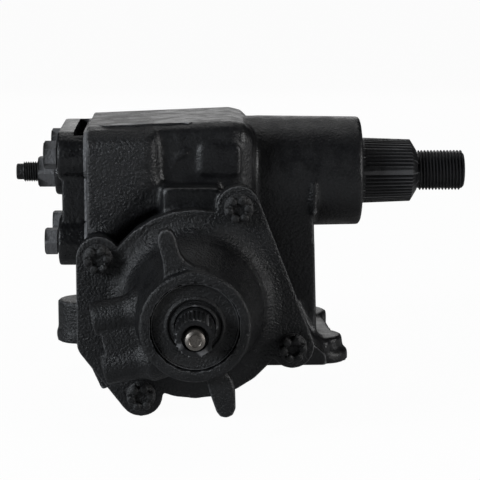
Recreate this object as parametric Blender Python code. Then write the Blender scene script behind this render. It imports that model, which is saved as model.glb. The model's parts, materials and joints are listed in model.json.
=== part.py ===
"""Recirculating ball power steering gear.

Frame: the origin lies on the plane of the mounting feet, straight under the crossing of the worm and the
sector shaft. +X points to the serrated end of the sector shaft, +Y to the rear of the worm cylinder and
+Z away from the frame rail. Lengths are in metres.
"""
import math

import bmesh
import bpy
from mathutils import Matrix, Vector

MM = 0.001

# Clearances
FIT = 0.3 * MM
RUNNING = 0.4 * MM
BACKLASH = 0.25 * MM
OVERLAP = 1.0 * MM
WELD = 0.002 * MM
FLATNESS = math.radians(0.4)

# Gear train
WORM_HEIGHT = 43.0 * MM
CENTRE_DISTANCE = 61.0 * MM
SECTOR_HEIGHT = WORM_HEIGHT + CENTRE_DISTANCE
PITCH_RADIUS = 32.0 * MM
FULL_CIRCLE_TEETH = 12
SECTOR_TEETH = 3
PRESSURE_ANGLE = math.radians(25.0)
SECTOR_ADDENDUM = 5.3 * MM
RACK_ADDENDUM = 3.5 * MM
TOOTH_BOTTOM = 0.5 * MM
STEERING_RATIO = 16.0
WORM_LEAD = 2.0 * math.pi * PITCH_RADIUS / STEERING_RATIO
TOOTH_PITCH = 2.0 * math.pi * PITCH_RADIUS / FULL_CIRCLE_TEETH
SECTOR_TIP = PITCH_RADIUS + SECTOR_ADDENDUM
SECTOR_FACE = 15.0 * MM

# Round pieces
SIDES = 12
FINE_SIDES = 18
CASTING_SIDES = 28
EDGE_SIDES = 12
HOLE_SIDES = 8

# Main casting
JOINT_FACE = -62.0 * MM
CYLINDER_BORE = 35.0 * MM
CYLINDER_WALL = 6.0 * MM
REAR_END = 100.0 * MM
CHAMBER_LEFT = -57.0 * MM
CHAMBER_RIGHT = 33.0 * MM
CHAMBER_FRONT = -44.0 * MM
CHAMBER_REAR = 45.0 * MM
CHAMBER_TOP = 32.5 * MM
CHAMBER_CORNER = 13.0 * MM
CHAMBER_SLOPE = 0.04
TUBE_RADIUS = 30.8 * MM
TUBE_DRAFT = 0.8 * MM
TUBE_END = 92.0 * MM
SWEEP_ROOM = 1.2 * MM
SWEEP_LIFT = math.radians(12.0)
TUBE_BORE = TUBE_RADIUS - 8.3 * MM
SEAL_BORE = TUBE_RADIUS - 6.3 * MM
SEAL_BORE_DEPTH = 13.0 * MM
WEB_EDGE = 67.0 * MM
WEB_THICKNESS = 13.0 * MM
FLANGE_THICKNESS = 11.0 * MM
PAD_SIDE = 26.0 * MM
FOOT_HOLE = 5.6 * MM
FOOT_HOLE_DEPTH = 10.5 * MM
FOOT_PLACES = ((-65.0 * MM, 38.0 * MM), (69.0 * MM, -13.0 * MM), (64.0 * MM, 56.0 * MM))
FOOT_RADIUS = 14.5 * MM
FOOT_LIP = 6.0 * MM
LEFT_FOOT_HEIGHT = 24.0 * MM
RIGHT_FOOT_HEIGHT = 14.0 * MM
BASE_HEIGHT = 11.0 * MM
BASE_INNER = 0.65
WEB_FRONT = -29.2 * MM
WEB_FLARE = 7.0 * MM
GUSSET = tuple((x * MM, z * MM) for x, z in (
    (30.0, 6.0), (71.0, 6.0), (70.0, 12.5), (64.5, 17.0), (60.0, 25.0), (56.5, 35.0), (30.0, 36.0)))
BLOCK_RISE = 6.5 * MM
BLOCK_CORNER = 9.0 * MM
BLOCK_CENTRES = tuple((x * MM, z * MM) for x, z in (
    (-28, 119), (-66, 119), (-66, 76), (-54, 76), (-36, 97), (-28, 106)))
BLOCK_SOFT = 4.0 * MM
REAR_LIP = 3.0 * MM
CHAMBER_FLOOR = 15.0 * MM
CHAMBER_EDGE = 9.0 * MM
TAB_PLACE = (-49.0 * MM, 4.0 * MM)
TAB_SIZE = (9.0 * MM, 17.0 * MM)
TAB_TILT = math.radians(24.0)
FLANGE_DISC = 50.5 * MM
FLANGE_CORNER = (-52.5 * MM, 22.5 * MM)
CORNER_RADIUS = 9.5 * MM
LEDGE = (-17.0 * MM, 14.0 * MM)
LEDGE_TOP = -0.7 * MM
PANEL = (2.6 * MM, 25.0 * MM, 3.5 * MM, 20.0 * MM)
PANEL_RISE = 1.6 * MM
VALVE_BOLT_DEPTH = 14.5 * MM
SNAP_RING_PLACE = 96.5 * MM
SHAFT_RING_PLACE = TUBE_END - 3.5 * MM

# Valve housing
VALVE_FLANGE = 10.0 * MM
BOLT_CIRCLE = 56.2 * MM
BOLT_ANGLES = tuple(math.radians(a) for a in (153.6, 65.9, -24.0, -120.6))
EAR_RADIUS = 11.5 * MM
BODY_RADIUS = 35.0 * MM
BODY_FLARE = (11.0 * MM, 13.0 * MM)
BODY_MIDDLE = -93.0 * MM
BODY_FRONT = -103.0 * MM
BODY_BLEND = 10.0 * MM
BELL_STEPS = 4
CUP_RADIUS = 28.2 * MM
CUP_BORE = 22.3 * MM
CUP_FRONT = -126.5 * MM
UPPER_EAR = tuple((x * MM, z * MM) for x, z in (
    (-6.0, 18.0), (-16.0, 20.0), (-15.4, 26.6), (-16.0, 33.0), (-18.3, 41.8), (-18.2, 45.3), (-16.6, 47.8),
    (-13.6, 48.4), (-10.9, 47.2), (-9.2, 44.0), (-8.6, 41.0), (-7.2, 36.4), (-4.6, 32.6), (-0.5, 29.9),
    (5.5, 28.2), (4.0, 18.0)))
LOWER_EAR = tuple((x * MM, z * MM) for x, z in (
    (3.0, -18.0), (5.4, -27.4), (7.3, -35.0), (10.6, -44.5), (12.4, -47.0), (15.6, -47.8), (18.8, -46.4),
    (20.3, -43.0), (20.1, -34.0), (18.5, -28.0), (15.5, -23.8), (14.0, -18.0)))
EAR_PLANE = -117.0 * MM
EAR_THICKNESS = 9.0 * MM

# Valve housing bolts
VALVE_BOLT_SHANK = 5.0 * MM
VALVE_BOLT_HEAD = 7.0 * MM
VALVE_BOLT_WASHER = 8.8 * MM
VALVE_BOLT_LENGTH = 22.0 * MM
LOBE_MIDDLE = 6.7 * MM
LOBE_RISE = 0.8 * MM
LOBE_HOLLOW = 3.2 * MM
LOBE_HOLLOW_DEPTH = 3.0 * MM

# Side cover
COVER_DROP = 10.5 * MM
COVER_CENTRE = SECTOR_HEIGHT - COVER_DROP
COVER_OPENING = 30.0 * MM
COVER_BOLT_Y = 29.5 * MM
COVER_BOLT_Z = 23.5 * MM
COVER_EAR = 13.2 * MM
COVER_THICKNESS = 14.7 * MM
GASKET = 0.8 * MM
COVER_INNER = CHAMBER_LEFT - GASKET - 2.0 * FIT
COVER_BOSS = 3.5 * MM
COVER_BOSS_RADIUS = 13.0 * MM
COVER_RIB = 4.0 * MM
COVER_SLOT = (15.0 * MM, 8.0 * MM)
COVER_SLOT_WALLS = (3.5 * MM, 2.4 * MM)
COVER_BOLT_SHANK = 4.4 * MM
COVER_BOLT_AF = 13.4 * MM
COVER_BOLT_HEAD = 7.4 * MM
COVER_BOLT_DEPTH = 18.0 * MM
COVER_HUB = COVER_OPENING - COVER_DROP - FIT
COVER_HUB_LENGTH = 20.0 * MM

# Sector shaft
COVER_JOURNAL = 15.0 * MM
MAIN_JOURNAL = TUBE_BORE - 4.0 * MM
BUSH_WALL = 2.3 * MM
SERRATIONS = 36
SERRATION_BASE = MAIN_JOURNAL - 0.4 * MM
SERRATION_TIP = MAIN_JOURNAL - 1.5 * MM
SERRATION_DEPTH = 1.3 * MM
SERRATION_START = TUBE_END + 1.0 * MM
SERRATION_END = 120.2 * MM
STUB_CHAMFER = 3.3 * MM
INNER_BEARING = (24.0 * MM, 44.0 * MM)
OUTER_BEARING = (55.0 * MM, 75.0 * MM)
SECTOR_SEAL = 4.5 * MM
STUB_RADIUS = 0.6 * MAIN_JOURNAL
SHAFT_END = 150.0 * MM
LASH_POCKET = 7.8 * MM
LASH_POCKET_DEPTH = 6.0 * MM
COVER_SHAFT_DEPTH = 5.0 * MM

# Lash adjuster
LASH_RADIUS = 5.55 * MM
LASH_TIP_RADIUS = 4.0 * MM
LASH_TIP_LENGTH = 4.0 * MM
LASH_OUT = 21.6 * MM
JAM_NUT_CORNERS = 18.4 * MM
JAM_NUT_HEIGHT = 9.3 * MM

# Rack piston and ball screw
PISTON_FRONT = -38.0 * MM
PISTON_REAR = 62.0 * MM
RACK_FLAT_REACH = 27.0 * MM
BALL_RADIUS = 3.5 * MM
BALL_ROOM = 0.6 * MM
BALL_CIRCLE = 14.0 * MM
WORM_RADIUS = 12.8 * MM
NUT_BORE = 15.2 * MM
BALLS = 12
BALL_TURNS = 2.0
HELIX_STEPS = 6
SHAFT_SIDES = 16
WORM_REAR = 30.0 * MM
PISTON_PLUG = 8.0 * MM
PLUG_RADIUS = 20.0 * MM
PLUG_SQUARE = 6.0 * MM
RING_GROOVE_EDGE = 6.0 * MM
RING_DEPTH = 1.6 * MM
RING_WIDTH = 2.4 * MM
BALL_MIDDLE = -8.0 * MM
NUT_GROOVE_END = 12.0 * MM
WORM_FRONT = -44.0 * MM
GUIDE_SPAN = WORM_LEAD * BALL_TURNS / 2.0
GUIDE_TUBE = 4.4 * MM
GUIDE_SIDES = 10
GUIDE_WALL = 0.7 * MM
GUIDE_BEND = 5.2 * MM
GUIDE_FLOOR = 21.5 * MM
GUIDE_POCKET_X = 15.0 * MM
GUIDE_POCKET_Y = GUIDE_SPAN + GUIDE_TUBE + 2.0 * FIT
CLAMP_THICKNESS = 1.6 * MM
CLAMP_WIDTH = 8.0 * MM
CLAMP_SCREW = 1.9 * MM
CLAMP_SCREW_X = 10.5 * MM
CLAMP_SCREW_DEPTH = 4.0 * MM
CLAMP_HEAD = 3.4 * MM
CLAMP_HEAD_HEIGHT = 2.2 * MM

# Front mechanism, as distances along the worm axis
BEARING_NUT = (-66.0 * MM, -62.6 * MM)
REAR_THRUST = (-68.6 * MM, -66.3 * MM)
WORM_HEAD = (-74.6 * MM, -68.9 * MM)
FRONT_THRUST = (-77.2 * MM, -74.9 * MM)
HEAD_RADIUS = 23.0 * MM
THRUST_BORE = 26.5 * MM
THRUST_HOLE = 14.0 * MM
THRUST_OUTSIDE = 24.5 * MM
SLEEVE = (-110.0 * MM, -79.0 * MM)
SLEEVE_RADIUS = 20.5 * MM
SLEEVE_BORE = 13.3 * MM
VALVE_BORE = 20.9 * MM
SPOOL_RADIUS = 13.0 * MM
SLEEVE_RINGS = 3
SPOOL_TAIL = 6.5 * MM
FLUTES = 8
FLUTE = 1.6 * MM
INPUT_COLLAR = 20.0 * MM
INPUT_TOOTH = 0.9 * MM
INPUT_FLAT = 8.2 * MM
TORSION_SEAT = 6.0 * MM
TORSION_CHAMFER = 1.2 * MM
DRIVE_PIN = 1.6 * MM
DRIVE_PIN_Y = -126.5 * MM
OIL_SEAL_RADIUS = 19.0 * MM
LIP_RISE = 1.8 * MM
LIP_WALL = 1.1 * MM
TORSION_REAR = -64.5 * MM
INPUT_BEARING = (-117.0 * MM, -111.0 * MM)
INPUT_BEARING_RADIUS = 15.0 * MM
INPUT_RADIUS = 10.0 * MM
INPUT_FRONT = -150.5 * MM
INPUT_SERRATIONS = 30
INPUT_HOLLOW = 6.6 * MM
TORSION_RADIUS = 3.4 * MM
TORSION_HEAD = 4.9 * MM
TORSION_FRONT = -156.0 * MM
OIL_SEAL = (-121.0 * MM, -117.4 * MM)
DUST_SEAL = (-123.4 * MM, -121.3 * MM)

# Hose ports
PORT_REACH = 52.0 * MM
PORT_ROOT = 31.0 * MM
PORT_FLARE = 3.0 * MM
PORT_TILT = math.radians(12.0)
PORT_HOLE = 6.3 * MM
PORT_DEPTH = 12.0 * MM
PORT_DRILLING = 2.8 * MM
PORT_GALLERY = 9.0 * MM
PORT_Y = -92.0 * MM
PORTS = ((8.0 * MM, 9.0 * MM), (-17.5 * MM, 10.0 * MM))
PORT_SEAT = 5.5 * MM

# Rear closure
END_PLUG_THICKNESS = 9.0 * MM
SNAP_RING = 1.8 * MM
SNAP_RING_DEPTH = 1.8 * MM

AXES = {"X": (0, 1, 2), "Y": (1, 0, 2), "Z": (2, 0, 1)}


def clear_scene():
    """Empties the scene of what Blender starts with."""
    for old in list(bpy.data.objects):
        bpy.data.objects.remove(old, do_unlink=True)


def point(axis, along, across, up):
    """A point from its distance along an axis and its two coordinates across that axis."""
    place = [0.0, 0.0, 0.0]
    for slot, value in zip(AXES[axis], (along, across, up)):
        place[slot] = value
    return Vector(place)


def material(name, colour, roughness, metallic):
    """A plain finish with its colour, roughness and metallic value."""
    finish = bpy.data.materials.new(name)
    finish.use_nodes = True
    shader = finish.node_tree.nodes["Principled BSDF"]
    shader.inputs["Base Color"].default_value = (*colour, 1.0)
    shader.inputs["Roughness"].default_value = roughness
    shader.inputs["Metallic"].default_value = metallic
    return finish


def tidy(bm):
    """Merges doubled points and turns every face outwards."""
    bmesh.ops.remove_doubles(bm, verts=bm.verts, dist=1e-7)
    bmesh.ops.recalc_face_normals(bm, faces=bm.faces)
    return bm


def turned(profile, axis, centre=(0.0, 0.0), sides=SIDES):
    """A turned solid: a closed profile of (along, radius) points spun about an axis."""
    bm = bmesh.new()
    dots = [bm.verts.new(point(axis, along, centre[0], centre[1] + radius)) for along, radius in profile]
    edges = [bm.edges.new((a, b)) for a, b in zip(dots, dots[1:] + dots[:1])
             if (a.co - b.co).length > 0 and not (on_axis(a, axis, centre) and on_axis(b, axis, centre))]
    bmesh.ops.spin(bm, geom=dots + edges, cent=point(axis, 0.0, *centre), axis=point(axis, 1.0, 0.0, 0.0),
                   angle=2.0 * math.pi, steps=sides, use_merge=True, use_duplicate=False)
    return tidy(bm)


def on_axis(vert, axis, centre):
    """Whether a profile point lies on the axis that the profile turns about."""
    slots = AXES[axis]
    return abs(vert.co[slots[2]] - centre[1]) < 1e-7 and abs(vert.co[slots[1]] - centre[0]) < 1e-7


def bar(axis, low, high, radius, centre=(0.0, 0.0), sides=SIDES, chamfer=0.0):
    """A round bar with an optional chamfer at both ends."""
    profile = [(low, 0.0), (low, radius - chamfer), (low + chamfer, radius),
               (high - chamfer, radius), (high, radius - chamfer), (high, 0.0)]
    if chamfer == 0.0:
        profile = [(low, 0.0), (low, radius), (high, radius), (high, 0.0)]
    return turned(profile, axis, centre, sides)


def clear(radius, sides=SIDES):
    """The corner radius of a polygon whose flats clear a round of a given radius."""
    return radius / math.cos(math.pi / sides)


def bore(axis, low, high, radius, centre=(0.0, 0.0), sides=SIDES):
    """A cutter for a round hole, whose flats keep the hole's radius."""
    return bar(axis, low, high, clear(radius, sides), centre, sides)


def ring(axis, low, high, inner, outer, centre=(0.0, 0.0), sides=SIDES):
    """A ring of square section, whose inner flats keep its inner radius."""
    inside = clear(inner, sides)
    return turned([(low, inside), (low, outer), (high, outer), (high, inside)], axis, centre, sides)


def prism(outline, axis, low, high):
    """A flat outline of (across, up) points extruded along an axis."""
    bm = bmesh.new()
    face = bm.faces.new([bm.verts.new(point(axis, low, *place)) for place in outline])
    grown = bmesh.ops.extrude_face_region(bm, geom=[face])
    moved = [item for item in grown["geom"] if isinstance(item, bmesh.types.BMVert)]
    bmesh.ops.translate(bm, verts=moved, vec=point(axis, high - low, 0.0, 0.0))
    return tidy(bm)


def stack(axis, layers):
    """A solid lofted through layers, each (along, outline) with as many points as the others."""
    bm = bmesh.new()
    rows = [[bm.verts.new(point(axis, along, *place)) for place in outline] for along, outline in layers]
    count = len(rows[0])
    for lower, upper in zip(rows, rows[1:]):
        for i in range(count):
            j = (i + 1) % count
            bm.faces.new((lower[i], lower[j], upper[j], upper[i]))
    bm.faces.new(rows[0])
    bm.faces.new(rows[-1])
    return tidy(bm)


def block(x, y, z):
    """A box from its (low, high) limits on the three axes."""
    return prism(((x[0], y[0]), (x[1], y[0]), (x[1], y[1]), (x[0], y[1])), "Z", z[0], z[1])


def arc(centre, radius, start, end, steps):
    """Points along a circular arc, both ends included."""
    return [(centre[0] + radius * math.cos(start + (end - start) * i / steps),
             centre[1] + radius * math.sin(start + (end - start) * i / steps)) for i in range(steps + 1)]


def circle(centre, radius, steps=SIDES):
    """Points round a circle."""
    return arc(centre, radius, 0.0, 2.0 * math.pi * (steps - 1) / steps, steps - 1)


def rounded(low, high, radius, steps=4):
    """A rectangle with rounded corners, counterclockwise, from its low and high corners."""
    corners = ((high[0], high[1], 0.0), (low[0], high[1], 0.5), (low[0], low[1], 1.0), (high[0], low[1], 1.5))
    points = []
    for x, y, turn in corners:
        cx = x - math.copysign(radius, x - (low[0] + high[0]) / 2.0)
        cy = y - math.copysign(radius, y - (low[1] + high[1]) / 2.0)
        points += arc((cx, cy), radius, turn * math.pi, (turn + 0.5) * math.pi, steps)
    return points


def cushion(axis, low, high, corner, base, top, soft, steps=2):
    """A raised block with rounded corners and a rounded outer edge, as a casting has."""
    reach = math.copysign(soft, top - base)
    turns = [0.5 * math.pi * i / steps for i in range(steps + 1)]
    layers = [(base, 0.0)] + [(top - reach * (1.0 - math.sin(a)), soft * (1.0 - math.cos(a))) for a in turns]
    return stack(axis, [(along, rounded((low[0] + inset, low[1] + inset), (high[0] - inset, high[1] - inset),
                                        max(corner - inset / 2.0, corner / 3.0))) for along, inset in layers])


def hull(points):
    """The convex outline round a set of points, for ears, lobes and straps between circles."""
    ordered = sorted(set((round(x, 9), round(y, 9)) for x, y in points))

    def half(sequence):
        chain = []
        for p in sequence:
            while len(chain) > 1 and ((chain[-1][0] - chain[-2][0]) * (p[1] - chain[-2][1])
                                      - (chain[-1][1] - chain[-2][1]) * (p[0] - chain[-2][0])) <= 1e-12:
                chain.pop()
            chain.append(p)
        return chain[:-1]

    return half(ordered) + half(ordered[::-1])


def plate(rounds, steps=FINE_SIDES):
    """The outline of a plate whose corners are rounds, each a (centre, radius)."""
    return hull([dot for centre, radius in rounds for dot in circle(centre, radius, steps)])


def soft_hull(axis, centres, radius, base, top, soft, steps=2):
    """A raised block round a set of centres, with a rounded outer edge."""
    reach = math.copysign(soft, top - base)
    turns = [0.5 * math.pi * i / steps for i in range(steps + 1)]
    layers = [(base, 0.0)] + [(top - reach * (1.0 - math.sin(a)), soft * (1.0 - math.cos(a))) for a in turns]
    return stack(axis, [(along, plate([(centre, radius - inset) for centre in centres], EDGE_SIDES))
                        for along, inset in layers])


def scratch(bm, name="shape"):
    """An object that holds a mesh while it is joined and cut."""
    mesh = bpy.data.meshes.new(name)
    bm.to_mesh(mesh)
    bm.free()
    thing = bpy.data.objects.new(name, mesh)
    bpy.context.collection.objects.link(thing)
    return thing


def is_closed(mesh):
    """Whether every edge of a mesh lies between exactly two faces."""
    bm = bmesh.new()
    bm.from_mesh(mesh)
    closed = len(bm.faces) > 0 and all(edge.is_manifold for edge in bm.edges)
    bm.free()
    return closed


def boolean_step(body, other, operation):
    """The mesh of one solid joined or cut with another; the second solver is for what the first leaves open."""
    for solver in ("EXACT", "MANIFOLD"):
        step = body.modifiers.new("step", "BOOLEAN")
        step.operation = operation
        step.solver = solver
        step.object = other
        depsgraph = bpy.context.evaluated_depsgraph_get()
        result = bpy.data.meshes.new_from_object(body.evaluated_get(depsgraph))
        body.modifiers.remove(step)
        if is_closed(result):
            break
    return result


def simplified(bm):
    """A mesh whose flat neighbours are joined, as far as it stays closed."""
    for angle in [FLATNESS * share for share in (1.0, 0.6, 0.3, 0.1, 0.03)]:
        trial = bm.copy()
        bmesh.ops.dissolve_degenerate(trial, dist=WELD, edges=trial.edges)
        bmesh.ops.dissolve_limit(trial, angle_limit=angle, verts=trial.verts, edges=trial.edges)
        bmesh.ops.triangulate(trial, faces=trial.faces)
        bmesh.ops.dissolve_degenerate(trial, dist=WELD, edges=trial.edges)
        if all(edge.is_manifold for edge in trial.edges) and all(len(v.link_faces) > 2 for v in trial.verts):
            bm.free()
            return trial
        trial.free()
    return bm


def combine(base, tools, operation):
    """Joins or cuts a solid with others, one after another, and returns its mesh."""
    bmesh.ops.triangulate(base, faces=base.faces)
    body = scratch(base)
    for tool in tools:
        bmesh.ops.triangulate(tool, faces=tool.faces)
        other = scratch(tool, "tool")
        body.data = boolean_step(body, other, operation)
        bpy.data.objects.remove(other, do_unlink=True)
    bm = bmesh.new()
    bm.from_mesh(body.data)
    bpy.data.objects.remove(body, do_unlink=True)
    return simplified(bm)


def joined(base, *others):
    """One solid made of a base and what is added to it."""
    return combine(base, others, "UNION")


def carved(base, *cutters):
    """A solid with holes, pockets and flats cut from it."""
    return combine(base, cutters, "DIFFERENCE")


def assembly(name, place):
    """An empty on a joint's axis, which carries the pieces that turn or slide there."""
    holder = bpy.data.objects.new(name, None)
    holder.location = place
    bpy.context.collection.objects.link(holder)
    return holder


def piece(name, bm, finish, holder, smooth=math.radians(35.0)):
    """A finished sub-part in its own object, carried by its assembly."""
    bmesh.ops.translate(bm, verts=bm.verts, vec=-holder.location)
    thing = scratch(bm, name)
    thing.parent = holder
    thing.data.materials.append(finish)
    thing.data.shade_smooth()
    thing.data.set_sharp_from_angle(angle=smooth)
    return thing


def involute(angle):
    """The involute of a pressure angle."""
    return math.tan(angle) - angle


def sector_outline():
    """The toothed outline of the sector round its own axis, as (Y, Z), its middle tooth pointing down."""
    base = PITCH_RADIUS * math.cos(PRESSURE_ANGLE)
    root = PITCH_RADIUS - RACK_ADDENDUM - 2.0 * TOOTH_BOTTOM
    pitch_half = math.pi / (2.0 * FULL_CIRCLE_TEETH) - BACKLASH / PITCH_RADIUS
    step = 2.0 * math.pi / FULL_CIRCLE_TEETH
    flank = [(root, pitch_half + involute(PRESSURE_ANGLE))]
    for i in range(6):
        radius = base + (SECTOR_TIP - base) * i / 5.0
        flank.append((radius, pitch_half + involute(PRESSURE_ANGLE) - involute(math.acos(base / radius))))
    polar = [(MAIN_JOURNAL, -2.0 * step), (root, -1.5 * step)]
    middle = (SECTOR_TEETH - 1) / 2.0
    for tooth in range(SECTOR_TEETH):
        centre = (tooth - middle) * step
        polar += [(radius, centre - half) for radius, half in flank]
        polar += [(radius, centre + half) for radius, half in reversed(flank)]
    polar += [(root, 1.5 * step), (MAIN_JOURNAL, 2.0 * step)]
    top = [(MAIN_JOURNAL, math.radians(a)) for a in range(80, 300, 20)]
    return [(radius * math.sin(angle), SECTOR_HEIGHT - radius * math.cos(angle))
            for radius, angle in polar + top]


def serrated(radius, depth, count, centre, start=0.0):
    """Points round a ring of fine pointed serrations."""
    points = []
    for i in range(2 * count):
        reach = radius if i % 2 == 0 else radius - depth
        angle = start + math.pi * i / count
        points.append((centre[0] + reach * math.cos(angle), centre[1] + reach * math.sin(angle)))
    return points


def sector_shaft():
    """The sector shaft: cover journal, toothed sector, main journal, serrated taper and threaded stub."""
    axis = (0.0, SECTOR_HEIGHT)
    left = CHAMBER_LEFT - COVER_SHAFT_DEPTH
    spindle = turned([(left, 0.0), (left, COVER_JOURNAL - FIT), (left + FIT, COVER_JOURNAL),
                      (-SECTOR_FACE - OVERLAP, COVER_JOURNAL), (-SECTOR_FACE + OVERLAP, MAIN_JOURNAL),
                      (SERRATION_START - OVERLAP, MAIN_JOURNAL), (SERRATION_START, MAIN_JOURNAL - OVERLAP),
                      (SERRATION_START, 0.0)], "X", axis, FINE_SIDES)
    sector = prism(sector_outline(), "X", -SECTOR_FACE, SECTOR_FACE)
    serrations = stack("X", [
        (SERRATION_START - 3.0 * OVERLAP,
         serrated(SERRATION_BASE - OVERLAP, SERRATION_DEPTH, SERRATIONS, axis)),
        (SERRATION_START + OVERLAP, serrated(SERRATION_BASE, SERRATION_DEPTH, SERRATIONS, axis)),
        (SERRATION_END, serrated(SERRATION_TIP, SERRATION_DEPTH, SERRATIONS, axis)),
        (SERRATION_END + STUB_CHAMFER / 2.0,
         serrated(SERRATION_TIP - 2.0 * SERRATION_DEPTH, 0.0, SERRATIONS, axis)),
        (SERRATION_END + STUB_CHAMFER, serrated(STUB_RADIUS + OVERLAP, 0.0, SERRATIONS, axis))])
    stub = bar("X", SERRATION_END - OVERLAP, SHAFT_END, STUB_RADIUS, axis, SIDES, 2.0 * OVERLAP)
    pocket = bore("X", left - OVERLAP, left + LASH_POCKET_DEPTH, LASH_POCKET, axis)
    return carved(joined(spindle, sector, serrations, stub), pocket)


def rack_gaps():
    """The gaps between the rack teeth, as flat (Y, Z) outlines."""
    line = SECTOR_HEIGHT - PITCH_RADIUS
    bottom = SECTOR_ADDENDUM + TOOTH_BOTTOM
    slope = math.tan(PRESSURE_ANGLE)
    top = RACK_ADDENDUM + OVERLAP
    half = TOOTH_PITCH / 4.0 + BACKLASH
    middle = (SECTOR_TEETH - 1) / 2.0
    outlines = []
    for gap in range(SECTOR_TEETH):
        y = (gap - middle) * TOOTH_PITCH
        outlines.append([(y - half - slope * top, line + top), (y - half + slope * bottom, line - bottom),
                         (y + half - slope * bottom, line - bottom), (y + half + slope * top, line + top)])
    return outlines


def ball_place(turn):
    """A place on the ball circle, at a number of turns from the middle of the ball circuit."""
    angle = 2.0 * math.pi * turn + math.pi
    y = BALL_MIDDLE - WORM_LEAD * turn
    return Vector((BALL_CIRCLE * math.sin(angle), y, WORM_HEIGHT + BALL_CIRCLE * math.cos(angle)))


def helix_rod(low, high, crest, groove, around, along):
    """A rod along the worm axis with a round helical groove; crest and groove are radii."""
    rows = []
    steps = round((high - low) / WORM_LEAD * along)
    for j in range(steps + 1):
        y = low + (high - low) * j / steps
        outline = []
        for i in range(around):
            angle = 2.0 * math.pi * i / around
            phase = (y - BALL_MIDDLE) / WORM_LEAD + angle / (2.0 * math.pi) - 0.5
            offset = abs(phase - round(phase)) * WORM_LEAD
            radius = groove(offset, crest)
            outline.append((radius * math.sin(angle), WORM_HEIGHT + radius * math.cos(angle)))
        rows.append((y, outline))
    return stack("Y", rows)


def worm_groove(offset, crest):
    """The radius of the worm beside the line that the balls run on."""
    reach = BALL_RADIUS + BALL_ROOM
    return crest if offset >= reach else min(crest, BALL_CIRCLE - math.sqrt(reach ** 2 - offset ** 2))


def nut_groove(offset, crest):
    """The radius of the ball nut's bore beside the line that the balls run on."""
    reach = BALL_RADIUS + BALL_ROOM
    return crest if offset >= reach else max(crest, BALL_CIRCLE + math.sqrt(reach ** 2 - offset ** 2))


def rack_piston():
    """The rack piston: toothed above, grooved inside for the balls, with a pocket below for their return."""
    axis = (0.0, WORM_HEIGHT)
    radius = CYLINDER_BORE - FIT
    high = PISTON_REAR - RING_GROOVE_EDGE
    low = high - RING_WIDTH
    body = turned([(PISTON_FRONT, 0.0), (PISTON_FRONT, radius - OVERLAP), (PISTON_FRONT + OVERLAP, radius),
                   (low, radius), (low, radius - RING_DEPTH), (high, radius - RING_DEPTH), (high, radius),
                   (PISTON_REAR - OVERLAP, radius), (PISTON_REAR, radius - OVERLAP), (PISTON_REAR, 0.0)],
                  "Y", axis, FINE_SIDES)
    top = SECTOR_HEIGHT - PITCH_RADIUS + RACK_ADDENDUM
    flat = block((-CYLINDER_BORE, CYLINDER_BORE), (-RACK_FLAT_REACH, RACK_FLAT_REACH), (top, SECTOR_HEIGHT))
    gaps = [prism(outline, "X", -CYLINDER_BORE, CYLINDER_BORE) for outline in rack_gaps()]
    ball_track = helix_rod(PISTON_FRONT - OVERLAP, NUT_GROOVE_END, NUT_BORE, nut_groove, SHAFT_SIDES, HELIX_STEPS)
    rear = bore("Y", NUT_GROOVE_END - OVERLAP, PISTON_REAR + OVERLAP, PLUG_RADIUS + FIT, axis)
    pocket = block((-GUIDE_POCKET_X, GUIDE_POCKET_X),
                   (BALL_MIDDLE - GUIDE_POCKET_Y, BALL_MIDDLE + GUIDE_POCKET_Y),
                   (WORM_HEIGHT - CYLINDER_BORE - OVERLAP, WORM_HEIGHT - GUIDE_FLOOR))
    holes = [bore("Z", WORM_HEIGHT - GUIDE_FLOOR - OVERLAP, WORM_HEIGHT - NUT_BORE / 2.0, GUIDE_TUBE + FIT,
                 (0.0, BALL_MIDDLE + side * GUIDE_SPAN), EDGE_SIDES) for side in (-1, 1)]
    screws = [bore("Z", WORM_HEIGHT - GUIDE_FLOOR - OVERLAP, WORM_HEIGHT - GUIDE_FLOOR + CLAMP_SCREW_DEPTH,
                  CLAMP_SCREW + FIT, place, HOLE_SIDES) for place in clamp_screw_places()]
    return carved(body, flat, *gaps, ball_track, rear, pocket, *holes, *screws)


def clamp_screw_places():
    """The two clamp screws, as (X, Y), on opposite sides of the return guide."""
    return [(side * CLAMP_SCREW_X, BALL_MIDDLE) for side in (-1, 1)]


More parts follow.
